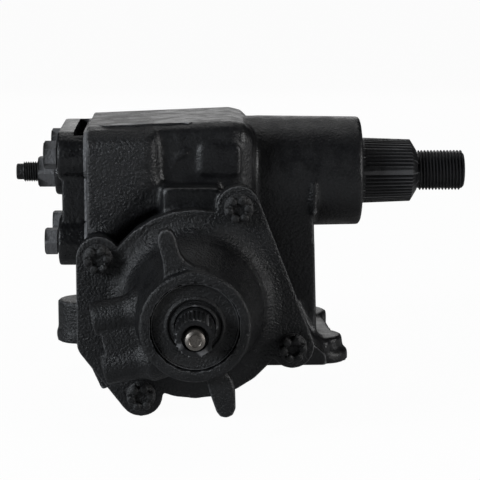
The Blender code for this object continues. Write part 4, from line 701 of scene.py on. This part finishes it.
def finish_piece(thing: Thing, name: str, body: Body, slot: Slot, nodes: tuple = (),
                 smooth: float = 35.0, paint: Paint = None) -> None:
    """Names a piece, shades it, gives it its finish and lets it ride on its body.

    Args:
        thing: The piece.
        name: Its name.
        body: The body that it rides on.
        slot: The slot that its finish comes from.
        nodes: The CAD nodes that it stands for.
        smooth: The angle in degrees over which an edge stays sharp.
        paint: A paint of its own in place of the slot's.
    """
    choose(thing)
    thing.name = name
    thing.data.name = name
    bpy.ops.object.shade_smooth_by_angle(angle=math.radians(smooth))
    thing.data.materials.clear()
    thing.data.materials.append(bpy.data.materials[(paint or FINISHES[slot]).name])
    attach(thing, body.value)
    if nodes:
        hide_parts(*nodes)
    LOG.info("%s: %d triangles on %s", name, sum(len(p.vertices) - 2 for p in thing.data.polygons), body.value)


def soften(thing: Thing, voxel: float, rounds: int, firm: tuple = ()) -> Thing:
    """Gives a casting the soft edges and fillets that its plain solid lacks.

    Args:
        thing: The casting.
        voxel: The grid of the remesh in metres.
        rounds: How many rounds of smoothing soften it.
        firm: Where along X a joint face keeps its edges, as its two ends.

    Returns:
        The same casting, softened.
    """
    apply_modifier(thing, "REMESH", mode="VOXEL", voxel_size=voxel, use_smooth_shade=True)
    low, high = firm or (0.0, 0.0)
    group = thing.vertex_groups.new(name="soft")
    group.add([vert.index for vert in thing.data.vertices if not low < vert.co.x < high], 1.0, "REPLACE")
    apply_modifier(thing, "SMOOTH", factor=0.5, iterations=rounds, vertex_group="soft")
    thing.vertex_groups.clear()
    return thing


def raise_face(chain: Thing, move: Vector) -> Thing:
    """Closes a chain of edges to a face and extrudes it to a closed block.

    Args:
        chain: The chain, left in edit mode by polyline.
        move: How far the face is extruded.

    Returns:
        The block.
    """
    bpy.ops.mesh.select_all(action="SELECT")
    bpy.ops.mesh.edge_face_add()
    bpy.ops.mesh.extrude_region_move(TRANSFORM_OT_translate={"value": move})
    bpy.ops.mesh.select_all(action="SELECT")
    bpy.ops.mesh.quads_convert_to_tris()
    tidy_mesh()
    return chain


def prism(axis: str, outline: tuple, start: float, end: float) -> Thing:
    """A prism along an axis.

    Args:
        axis: X, Y or Z.
        outline: Its corners across the axis, in millimetres.
        start: Where it starts.
        end: Where it ends.

    Returns:
        The prism.
    """
    corners = [spot(axis, start, across * MM, up * MM) for across, up in outline]
    return raise_face(polyline(corners), spot(axis, end - start, 0.0, 0.0))


def box(low: tuple, high: tuple) -> Thing:
    """A block between two corners.

    Args:
        low: The corner with the lowest coordinates.
        high: The corner with the highest coordinates.

    Returns:
        The block.
    """
    size = Vector(high) - Vector(low)
    deselect()
    bpy.ops.mesh.primitive_cube_add(size=1.0, location=(Vector(low) + Vector(high)) / 2.0, scale=size)
    bpy.ops.object.transform_apply(location=True, rotation=True, scale=True)
    return bpy.context.active_object


@dataclass
class MainCasting:
    """The main housing: soft cast skin, with its bores machined afterwards and the cover's joint face left unsmoothed.
    """

    voxel: float = 1.15 * MM  # the grid that the skin is made on
    rounds: int = 5  # rounds of smoothing
    cylinder_bore: float = 35.0 * MM  # radius of the worm cylinder
    worm_bore: tuple = mm(-63.0, 101.0)  # where the cut for the worm cylinder starts and ends
    # Start and radius of the cuts for the sector tube's bearings and seals
    tube_bores: tuple = (mm(16.0, 22.5), mm(79.0, 24.5))
    tube_mouth: float = 93.0 * MM  # where those cuts end, past the tube's end
    joint: tuple = mm(-58.0, -55.7)  # the zone along X at the cover's joint face that keeps its edges
    tube_radius: tuple = mm(30.8, 30.0)  # outer radius of the sector tube at its two ends
    tube_reach: tuple = mm(34.0, 91.9)  # where the tube's round outside starts and ends
    sides: int = 128  # sides of the tube's and the shells' circles
    shell_radii: tuple = mm(37.5, 41.05)  # inner and outer radius of the worm cylinder's shells
    lower_shell: tuple = mm(-58.0, 48.0)  # where the lower shell starts and ends
    rear_shell: tuple = mm(47.0, 96.5)  # where the full shell behind the chamber starts and ends
    shell_top: float = 60.0 * MM  # the height that the lower shell reaches
    top: float = 136.5 * MM  # height of the chamber's top at its right end
    slope: float = 0.04  # how much the top falls towards the left
    top_end: float = 33.0 * MM  # where the chamber's right end lies
    infill_reach: tuple = mm(-49.4, -42.0)  # the infill's front and back
    # The infill's (X, Z) points in millimetres
    infill_outline: tuple = ((-8.0, 93.0), (-22.0, 89.0), (-34.0, 82.0), (-44.0, 70.0), (-56.0, 72.0), (-52.0, 84.0),
                             (-40.0, 99.0), (-26.0, 112.0), (-20.0, 106.0), (-10.0, 100.0))
    shoulder_reach: tuple = mm(-56.9, -20.0)  # where the shoulder over the front block starts and ends
    # The shoulder's (Y, Z) points in millimetres
    shoulder_profile: tuple = ((-50.4, 116.0), (-50.3, 121.0), (-49.4, 125.4), (-47.2, 129.0), (-43.8, 131.6),
                               (-39.0, 132.4), (-36.0, 116.0))
    # The lip's (X, Y, rise) points in millimetres
    lip_outline: tuple = ((-51.0, -32.5, 0.1), (-48.5, -35.6, 0.3), (-45.0, -37.6, 0.35), (-38.0, -37.0, 0.35),
                          (-31.0, -38.1, 0.35), (-23.0, -37.3, 0.35), (-15.0, -38.2, 0.35), (-7.0, -37.6, 0.35),
                          (-3.0, -38.4, 0.3), (-0.8, -36.0, 0.2), (-6.0, -10.0, -0.1), (-25.0, -6.0, -0.1),
                          (-45.0, -10.0, -0.1))
    lip_depth: float = 3.6 * MM  # how deep the lip goes into the casting
    rib_reach: tuple = mm(84.0, 101.5)  # the lower and upper end of the rib on the tube
    rib_radius: float = 2.2 * MM  # radius of that rib
    rib_place: tuple = mm(65.0, -29.2)  # its X and Y
    # The arc's centre, radius, bead radius and face
    arc_place: tuple = (mm(-3.2, 111.6), 8.0 * MM, 1.5 * MM, -43.6 * MM)
    kept_faces: float = 0.62  # the share of the faces that stays after thinning out
    # The corners of the boxes round the front block, the right feet and the rib, and the smoothing rounds in them
    eased: tuple = (
        (mm(-55.6, -52.0, 70.0), mm(-9.0, -43.2, 133.0), 40),
        (mm(40.0, -40.0, 1.5), mm(95.0, 95.0, 30.0), 20),
        (mm(57.0, -34.0, 78.0), mm(72.0, -25.0, 105.0), 6),
    )

    def build(self) -> None:
        """Builds the housing's skin."""
        skin = merged_copy("gear_housing", "gear_housing_skin")
        shoulder = prism("X", self.shoulder_profile, *self.shoulder_reach)
        infill = prism("Y", self.infill_outline, *self.infill_reach)
        rib = cylinder("Z", *self.rib_reach, self.rib_radius, self.rib_place, 24)
        for addition in (*self.round_shells(), shoulder, infill, self.arc(), rib):
            combine(skin, addition, "UNION")
        soften(skin, self.voxel, self.rounds, self.joint)
        for low, high, rounds in self.eased:
            self.ease(skin, low, high, rounds)
        self.machine(skin)
        combine(skin, self.flow_lip(), "UNION")
        apply_modifier(skin, "DECIMATE", ratio=self.kept_faces)
        finish_piece(skin, "gear_housing_skin", Body.CASTINGS, Slot.CASTING, ("gear_housing",), 45.0, HOUSING_PAINT)

    def round_shells(self) -> list:
        """Truly round outsides for the sector tube and the worm cylinder.

        Returns:
            The shells.
        """
        wide, narrow = self.tube_radius
        start, end = self.tube_reach
        tube = [(start, 0.0), (start, wide), (end - MM, narrow), (end, narrow - MM), (end, 0.0)]
        shells = [lathe("X", tube, SECTOR_LINE, self.sides)]
        inner, outer = self.shell_radii
        for low, high in (self.lower_shell, self.rear_shell):
            ring = [(low, inner), (low, outer), (high, outer), (high, inner), (low, inner)]
            shells.append(lathe("Y", ring, WORM_LINE, self.sides))
        cut(shells[1], (0.0, 0.0, self.shell_top), (0.0, 0.0, 1.0))
        return shells

    def crown(self, place: float) -> float:
        """The height of the chamber's sloping top at a place along X."""
        return self.top - self.slope * (self.top_end - place)

    def flow_lip(self) -> Thing:
        """The thin irregular lip on the front edge of the chamber's top.

        Returns:
            The lip.
        """
        points = [Vector((x * MM, y * MM, self.crown(x * MM) + rise * MM)) for x, y, rise in self.lip_outline]
        return raise_face(polyline(points), Vector((0.0, 0.0, -self.lip_depth)))

    def arc(self) -> Thing:
        """The faint raised arc on the chamber's front.

        Returns:
            A quarter of a thin ring.
        """
        centre, radius, bead, face = self.arc_place
        turns = [math.radians(30.0 * number) for number in range(13)]
        ring = lathe("Y", [(face + bead * math.cos(turn), radius + bead * math.sin(turn)) for turn in turns], centre)
        for normal in ((1.0, 0.0, 0.0), (0.0, 0.0, -1.0)):
            cut(ring, spot("Y", face, *centre), normal)
        return ring

    def ease(self, skin: Thing, low: tuple, high: tuple, rounds: int) -> None:
        """Smooths the part of the casting that lies in a box.

        Args:
            skin: The softened casting.
            low: The box's lowest corner.
            high: The box's highest corner.
            rounds: Rounds of smoothing.
        """
        group = skin.vertex_groups.new(name="eased")
        inside = [vert.index for vert in skin.data.vertices if all(a < c < b for a, c, b in zip(low, vert.co, high))]
        group.add(inside, 1.0, "REPLACE")
        apply_modifier(skin, "SMOOTH", factor=0.5, iterations=rounds, vertex_group="eased")
        skin.vertex_groups.clear()

    def machine(self, skin: Thing) -> None:
        """Cuts the bores clean again.

        Args:
            skin: The softened casting.
        """
        low, high = self.worm_bore
        combine(skin, cylinder("Y", low, high, self.cylinder_bore, WORM_LINE, 96), "DIFFERENCE")
        for start, radius in self.tube_bores:
            combine(skin, cylinder("X", start, self.tube_mouth, radius, SECTOR_LINE, 96), "DIFFERENCE")


@dataclass
class ValveCasting:
    """The front housing: soft cast skin with a machined cup mouth."""

    voxel: float = 0.8 * MM  # the grid that the skin is made on
    rounds: int = 3  # rounds of smoothing
    cup_bore: float = 22.3 * MM  # radius of the cup's mouth
    cup_front: float = -126.5 * MM  # where the cup's rim lies
    cup_floor: float = -121.0 * MM  # how deep the mouth runs

    def build(self) -> None:
        """Builds the front housing's skin."""
        skin = soften(merged_copy("valve_housing", "valve_housing_skin"), self.voxel, self.rounds)
        mouth = cylinder("Y", self.cup_front - MM, self.cup_floor, self.cup_bore, WORM_LINE, 96)
        combine(skin, mouth, "DIFFERENCE")
        finish_piece(skin, "valve_housing_skin", Body.CASTINGS, Slot.CASTING, ("valve_housing",), 45.0, VALVE_PAINT)


@dataclass
class CoverCasting:
    """The side cover: soft cast skin."""

    voxel: float = 0.7 * MM  # the grid that the skin is made on
    rounds: int = 16  # rounds of smoothing
    joint: tuple = mm(-60.0, -57.5)  # the zone along X at the joint face that keeps its edges
    # The corners of the block that closes the plain solid's slot
    fill: tuple = (mm(-70.4, -15.6, 121.0), mm(-60.2, 15.6, 130.15))
    slice: tuple = mm(-60.2, -57.9)  # where the slice that stands for the gasket starts and ends
    shift: float = 1.2 * MM  # how far the slice is moved
    # The corners of the block between the upper and lower ears
    waist: tuple = (mm(-71.0, -36.5, 82.0), mm(-59.0, 36.5, 105.0))
    slot: tuple = (mm(-64.4, -36.3, 122.4), mm(-58.1, 30.0, 132.0))  # the corners of the long slot along the top
    # The corners of the slot's two deep parts
    pockets: tuple = ((mm(-64.4, 9.6, 120.0), mm(-58.1, 23.8, 123.0)),
                      (mm(-64.4, -23.8, 120.0), mm(-58.1, -9.6, 123.0)))

    def build(self) -> None:
        """Builds the side cover's skin."""
        self.gasket()
        skin = soften(self.blank("side_cover_skin"), self.voxel, self.rounds, self.joint)
        for corners in (self.slot, *self.pockets):
            combine(skin, box(*corners), "DIFFERENCE")
        finish_piece(skin, "side_cover_skin", Body.CASTINGS, Slot.CASTING, ("side_cover",), 45.0, COVER_PAINT)

    def blank(self, name: str) -> Thing:
        """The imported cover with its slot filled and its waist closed.

        Args:
            name: The new piece's name.

        Returns:
            The new piece.
        """
        thing = merged_copy("side_cover", name)
        for corners in (self.fill, self.waist):
            combine(thing, box(*corners), "UNION")
        return thing

    def gasket(self) -> None:
        """A slice of the cover, moved into the joint: the gasket with the paint that runs over its edge."""
        slab = self.blank("side_cover_gasket_fine")
        for place, drop in zip(self.slice, ("inner", "outer")):
            cut(slab, (place, 0.0, 0.0), (1.0, 0.0, 0.0), drop)
        slab.data.transform(Matrix.Translation((self.shift, 0.0, 0.0)))
        parts = frame["record"]["subparts"]
        slot = next(part["material_slot"] for part in parts if part["node"] == "side_cover_gasket")
        finish_piece(slab, "side_cover_gasket_fine", Body.CASTINGS, Slot(slot), ("side_cover_gasket",), 30.0,
                     FINISHES[Slot.CASTING])


@dataclass
class ValveBolts:
    """The four flange-headed bolts of the front housing, each with six round lobes about a hollow."""

    circle: float = 56.2 * MM  # the radius of the bolt circle
    angles: tuple = (153.6, 65.9, -24.0, -120.6)  # where the bolts lie on it, in degrees
    seat: float = -72.6 * MM  # where the washer faces rest
    washer: float = 7.7 * MM  # radius of the washer
    lobe: float = 2.25 * MM  # radius of a lobe
    lobe_circle: float = 5.0 * MM  # radius of the circle that the lobes lie on
    height: float = 7.0 * MM  # height of the head
    hollow: float = 3.2 * MM  # radius of the hollow
    shank: float = 4.9 * MM  # radius of the shank
    length: float = 21.8 * MM  # length of the shank
    hollow_steps: tuple = ((2.6, 0.0), (0.9, 0.3), (0.6, 0.9))  # the hollow's profile, from its corner
    washer_steps: tuple = ((-1.2, -0.5), (-0.8, 0.0), (0.0, 0.0))  # the washer's profile, from its corner

    def place(self, angle: float) -> tuple:
        """Where a bolt lies, as X and Z, from its angle in degrees."""
        turn = math.radians(angle)
        return self.circle * math.cos(turn), WORM_LINE[1] + self.circle * math.sin(turn)

    def build(self) -> None:
        """Builds one bolt and copies it to the other places."""
        first = self.place(self.angles[0])
        bolt = self.bolt(first)
        for number, angle in enumerate(self.angles, 1):
            there = self.place(angle)
            move = (there[0] - first[0], 0.0, there[1] - first[1])
            copy = twin(bolt, f"valve_housing_bolt_{number}_fine", move)
            finish_piece(copy, copy.name, Body.CASTINGS, Slot.FASTENER, (f"valve_housing_bolt_{number}",), 40.0)
        bpy.data.objects.remove(bolt, do_unlink=True)

    def bolt(self, centre: tuple) -> Thing:
        """One bolt.

        Args:
            centre: Its X and Z.

        Returns:
            The bolt.
        """
        top, seat = self.seat - self.height, self.seat
        rim = [(top + 0.9 * MM, self.lobe_circle), (seat - 2.2 * MM, self.lobe_circle + 0.6 * MM)]
        body = lathe("Y", [(top + 2.6 * MM, 0.0), *steps(self.hollow_steps, top, self.hollow), *rim,
                           *steps(self.washer_steps, seat, self.washer),
                           *shank_points(seat, seat + self.length, self.shank)], centre, 48)
        for number in range(6):
            turn = math.radians(60.0 * number + 8.0)
            place = (centre[0] + self.lobe_circle * math.cos(turn), centre[1] + self.lobe_circle * math.sin(turn))
            low = seat - 1.4 * MM  # inside the washer
            lobe = lathe("Y", [(top, 0.0), (top, 0.45 * self.lobe), (top + 0.3 * MM, 0.8 * self.lobe),
                               (top + 0.9 * MM, self.lobe), (low, self.lobe), (low, 0.0)], place, 24)
            combine(body, lobe, "UNION")
        return body


@dataclass
class CoverBolts:
    """The four hexagon bolts of the side cover."""

    seat: float = -73.4 * MM  # where the washer faces rest
    across: float = 13.4 * MM  # width across the flats
    height: float = 7.4 * MM  # height of the head
    shank: float = 4.3 * MM  # radius of the shank
    end: float = -41.0 * MM  # where the shanks end
    spread: tuple = mm(29.5, 23.5)  # half of the bolts' spacing along Y and Z
    middle: float = 93.5 * MM  # the height of the pattern's middle

    def build(self) -> None:
        """Builds the bolts, the upper two with a corner up and the lower two with a flat up."""
        number = 0
        for up in (1, -1):
            for side in (-1, 1):
                number += 1
                centre = (side * self.spread[0], self.middle + up * self.spread[1])
                bolt = hexagon_head("X", self.seat - self.height, self.seat - 0.6 * MM, self.across, centre,
                                    30.0 if up > 0 else 0.0)
                washer = self.across / 2.0 - 0.3 * MM
                stem = lathe("X", [(self.seat - 1.6 * MM, 0.0), (self.seat - 0.9 * MM, washer), (self.seat, washer),
                                   *shank_points(self.seat, self.end, self.shank)], centre, 48)
                combine(bolt, stem, "UNION")
                finish_piece(bolt, f"side_cover_bolt_{number}_fine", Body.CASTINGS, Slot.FASTENER,
                             (f"side_cover_bolt_{number}",), 30.0)


def hexagon_head(axis: str, low: float, high: float, across: float, centre: tuple, turn: float) -> Thing:
    """A hexagonal block whose corners are turned off at its low end.

    Args:
        axis: Its axis.
        low: The outer end, which is chamfered.
        high: The inner end.
        across: Width across the flats.
        centre: The two coordinates of its axis.
        turn: How far it is turned about its axis, in degrees.

    Returns:
        The block.
    """
    corner = across / math.sqrt(3.0)
    block = cylinder(axis, low, high, corner, centre, 6)
    turn_mesh(block, math.radians(turn), axis, spot(axis, low, *centre))
    half, edge = across / 2.0, 0.25 * MM
    rise = (corner - half) * 1.1
    hood = lathe(axis, [(low, 0.0), (low, half - edge), (low + edge, half), (low + edge + rise * 0.6, half + rise),
                        (high + MM, half + 2.0 * rise), (high + MM, 0.0)], centre, 64)
    return combine(block, hood, "INTERSECT")


@dataclass
class LashAdjuster:
    """The threaded lash screw and its jam nut."""

    tip: float = -98.2 * MM  # where the screw's plain tip ends
    tip_length: float = 4.0 * MM  # length of the plain tip
    tip_radius: float = 4.4 * MM  # radius of the plain tip
    radius: float = 5.55 * MM  # radius over the threads
    pitch: float = 1.27 * MM  # pitch of the thread
    neck: float = -80.0 * MM  # where the thread ends inside the nut
    head: float = -61.7 * MM  # where the head inside the sector shaft starts
    head_radius: float = 7.4 * MM  # radius of that head
    head_end: float = -56.3 * MM  # where the head ends
    seat: float = -76.9 * MM  # where the nut rests
    nut_height: float = 9.3 * MM  # height of the nut
    nut_across: float = 15.9 * MM  # width of the nut across its flats

    def build(self) -> None:
        """Builds the screw and its nut."""
        start, core = self.tip + self.tip_length, self.radius - 0.8 * MM
        screw = threaded_rod("X", start, self.neck, self.radius, self.pitch, 0.75 * MM, SECTOR_LINE)
        stem = lathe("X", [(self.tip, 0.0), *steps(((0.0, -0.5), (0.5, 0.0)), self.tip, self.tip_radius),
                           (start + 0.2 * MM, self.tip_radius), (start + 0.2 * MM, core), (self.neck - MM, core),
                           (self.neck - 0.2 * MM, self.radius), (self.head, self.radius),
                           (self.head, self.head_radius), (self.head_end, self.head_radius), (self.head_end, 0.0)],
                     SECTOR_LINE, 64)
        combine(screw, stem, "UNION")
        finish_piece(screw, "lash_adjuster_screw_fine", Body.CASTINGS, Slot.FASTENER, ("lash_adjuster_screw",), 30.0)
        face = self.seat - self.nut_height
        nut = hexagon_head("X", face, self.seat, self.nut_across, SECTOR_LINE, 0.0)
        hole = lathe("X", [(face - MM, 0.0), (face - MM, self.radius + 1.5 * MM),
                           (face + 0.8 * MM, self.radius + 0.15 * MM),
                           (self.seat + MM, self.radius + 0.15 * MM), (self.seat + MM, 0.0)], SECTOR_LINE, 64)
        combine(nut, hole, "DIFFERENCE")
        finish_piece(nut, "adjuster_jam_nut_fine", Body.CASTINGS, Slot.FASTENER, ("adjuster_jam_nut",), 30.0)


@dataclass
class SectorShaft:
    """The sector shaft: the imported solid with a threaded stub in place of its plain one."""

    start: float = 93.2 * MM  # where the serrated cone starts
    taper: tuple = mm(18.2, 17.2)  # radius of the cone at its two ends
    shoulder: float = 120.0 * MM  # where the chamfer starts
    teeth: int = 52  # how many teeth a full circle holds
    groove: float = 0.85 * MM  # depth of a groove
    blind: tuple = (0, 1, 13, 14, 26, 27, 39, 40)  # the grooves that are left out
    root: float = 123.6 * MM  # where the stub leaves the serrations
    end: float = 150.0 * MM  # where the shaft ends
    radius: float = 11.1 * MM  # radius over the threads
    pitch: float = 1.814 * MM  # pitch of the thread
    depth: float = 1.05 * MM  # depth of the thread
    relief: float = 1.4 * MM  # length of the plain relief before the thread

    def build(self) -> None:
        """Cuts the plain stub away and threads a new one."""
        shaft = merged_copy("sector_shaft", "sector_shaft_fine")
        cut(shaft, (self.start, 0.0, 0.0), (1.0, 0.0, 0.0))
        combine(shaft, self.serrated_cone(), "UNION")
        stub = threaded_rod("X", self.root + self.relief, self.end - 1.2 * MM, self.radius, self.pitch, self.depth,
                            SECTOR_LINE, 72)
        core = self.radius - self.depth - 0.1 * MM
        stem = lathe("X", [(self.root - MM, 0.0), (self.root - MM, core), (self.end - 0.8 * MM, core),
                           (self.end, core - 0.8 * MM), (self.end, 0.0)], SECTOR_LINE, 72)
        combine(stub, stem, "UNION")
        combine(shaft, stub, "UNION")
        finish_piece(shaft, "sector_shaft_fine", Body.SECTOR, Slot.SHAFT, ("sector_shaft",), 24.0)

    def serrated_cone(self) -> Thing:
        """The tapered end with its fine pointed serrations, some of them blind.

        Returns:
            The serrated cone.
        """
        wide, narrow = self.taper
        cone = lathe("X", [(self.start - MM, 0.0), (self.start - MM, wide), (self.shoulder, narrow),
                           (self.root, self.radius + 0.2 * MM), (self.root, 0.0)], SECTOR_LINE, 156)
        half = math.pi * narrow / self.teeth * 0.8
        reach = self.root - self.start + 4.0 * MM
        corners = ((0.0, -self.groove), (1.5 * half, self.groove * 0.6), (-1.5 * half, self.groove * 0.6))
        across, up = SECTOR_LINE
        first = [Vector((self.start + MM, across + side, up + wide + rise)) for side, rise in corners]
        cutter = raise_face(polyline(first), Vector((reach, 0.0, narrow - wide - 0.16 * MM)))
        for number in range(self.teeth):
            if number not in self.blind:
                groove = twin(cutter, "groove")
                turn_mesh(groove, 2.0 * math.pi * (number + 0.5) / self.teeth, "X", spot("X", 0.0, *SECTOR_LINE))
                combine(cone, groove, "DIFFERENCE")
        bpy.data.objects.remove(cutter, do_unlink=True)
        return cone


@dataclass
class InputEnd:
    """What shows in the mouth of the cup: the input shaft, the dust seal and the torsion bar."""

    bevel: float = 0.22 * MM  # width of the bevels on the input shaft
    lip: float = 10.4 * MM  # inner radius of the seal's lip
    rim: float = 22.0 * MM  # outer radius of the seal
    front: float = -123.4 * MM  # the seal's front face
    back: float = -121.3 * MM  # the seal's rear face
    pin: float = 4.9 * MM  # radius of the torsion bar's head
    pin_front: float = -156.0 * MM  # where the head ends
    pin_back: float = -144.8 * MM  # where the head meets the bar
    bar: float = 3.4 * MM  # radius of the bar
    bar_end: float = -64.5 * MM  # where the bar ends
    pin_hole: float = 1.9 * MM  # radius of the hole for the drive pin
    pin_hole_place: float = -126.5 * MM  # where that hole lies
    # The seal's lip, from its front corner
    lip_steps: tuple = ((-1.6, 0.0), (-1.8, 0.2), (-1.8, 0.9), (-1.5, 1.2), (0.2, 1.9), (0.2, 2.5), (-0.7, 3.2),
                        (-0.9, 3.8), (-0.7, 4.4), (0.1, 5.2))
    rim_steps: tuple = ((0.3, -2.0), (0.0, -1.1), (-0.6, -0.6), (-0.6, -0.1))  # the seal's rim, from its front corner
    # The recessed end of the torsion bar's head, from its corner
    pin_steps: tuple = ((0.3, -2.1), (0.0, -1.8), (0.1, -1.4), (0.9, -0.1), (1.3, 0.0))

    def build(self) -> None:
        """Builds the shaft, the seal and the bar."""
        shaft = merged_copy("input_shaft", "input_shaft_fine")
        apply_modifier(shaft, "BEVEL", width=self.bevel, segments=2, limit_method="ANGLE",
                       angle_limit=math.radians(24.0))
        finish_piece(shaft, "input_shaft_fine", Body.INPUT, Slot.SHAFT, ("input_shaft",), 35.0)
        corner = (self.back, self.lip)
        profile = [corner, *steps(self.lip_steps, self.front, self.lip), *steps(self.rim_steps, self.front, self.rim),
                   (self.back, self.rim - 0.1 * MM), corner]
        finish_piece(lathe("Y", profile, WORM_LINE), "input_dust_seal_fine", Body.CASTINGS, Slot.FASTENER,
                     ("input_dust_seal",), 30.0)
        bar = lathe("Y", [(self.pin_front + 0.3 * MM, 0.0), *steps(self.pin_steps, self.pin_front, self.pin),
                          (self.pin_back, self.pin), (self.pin_back, self.bar), (self.bar_end, self.bar),
                          (self.bar_end, 0.0)], WORM_LINE, 64)
        hole = cylinder("X", *mm(-6.0, 6.0), self.pin_hole, (self.pin_hole_place, WORM_LINE[1]), 24)
        combine(bar, hole, "DIFFERENCE")
        finish_piece(bar, "torsion_bar_fine", Body.INPUT, Slot.BRIGHT, ("torsion_bar",), 30.0)


def dress_nodes(materials: dict) -> None:
    """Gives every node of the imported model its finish.

    Args:
        materials: The finishes by slot.
    """
    for part in frame["record"]["subparts"]:
        node = frame["nodes"][part["node"]]
        node.data.materials.clear()
        node.data.materials.append(materials[Slot(part["material_slot"])])


def main() -> None:
    """Builds the scene, sub-assembly by sub-assembly."""
    logging.basicConfig(level=logging.INFO, format="%(name)s: %(message)s")
    bpy.ops.object.select_all(action="DESELECT")
    materials = {slot: finish.build() for slot, finish in FINISHES.items()}
    for paint in (HOUSING_PAINT, VALVE_PAINT, COVER_PAINT):
        paint.build()
    dress_nodes(materials)
    for assembly in (MainCasting(), ValveCasting(), CoverCasting(), ValveBolts(), CoverBolts(), LashAdjuster(),
                     SectorShaft(), InputEnd()):
        assembly.build()
    Studio().build()


if __name__ == "__main__":
    main()
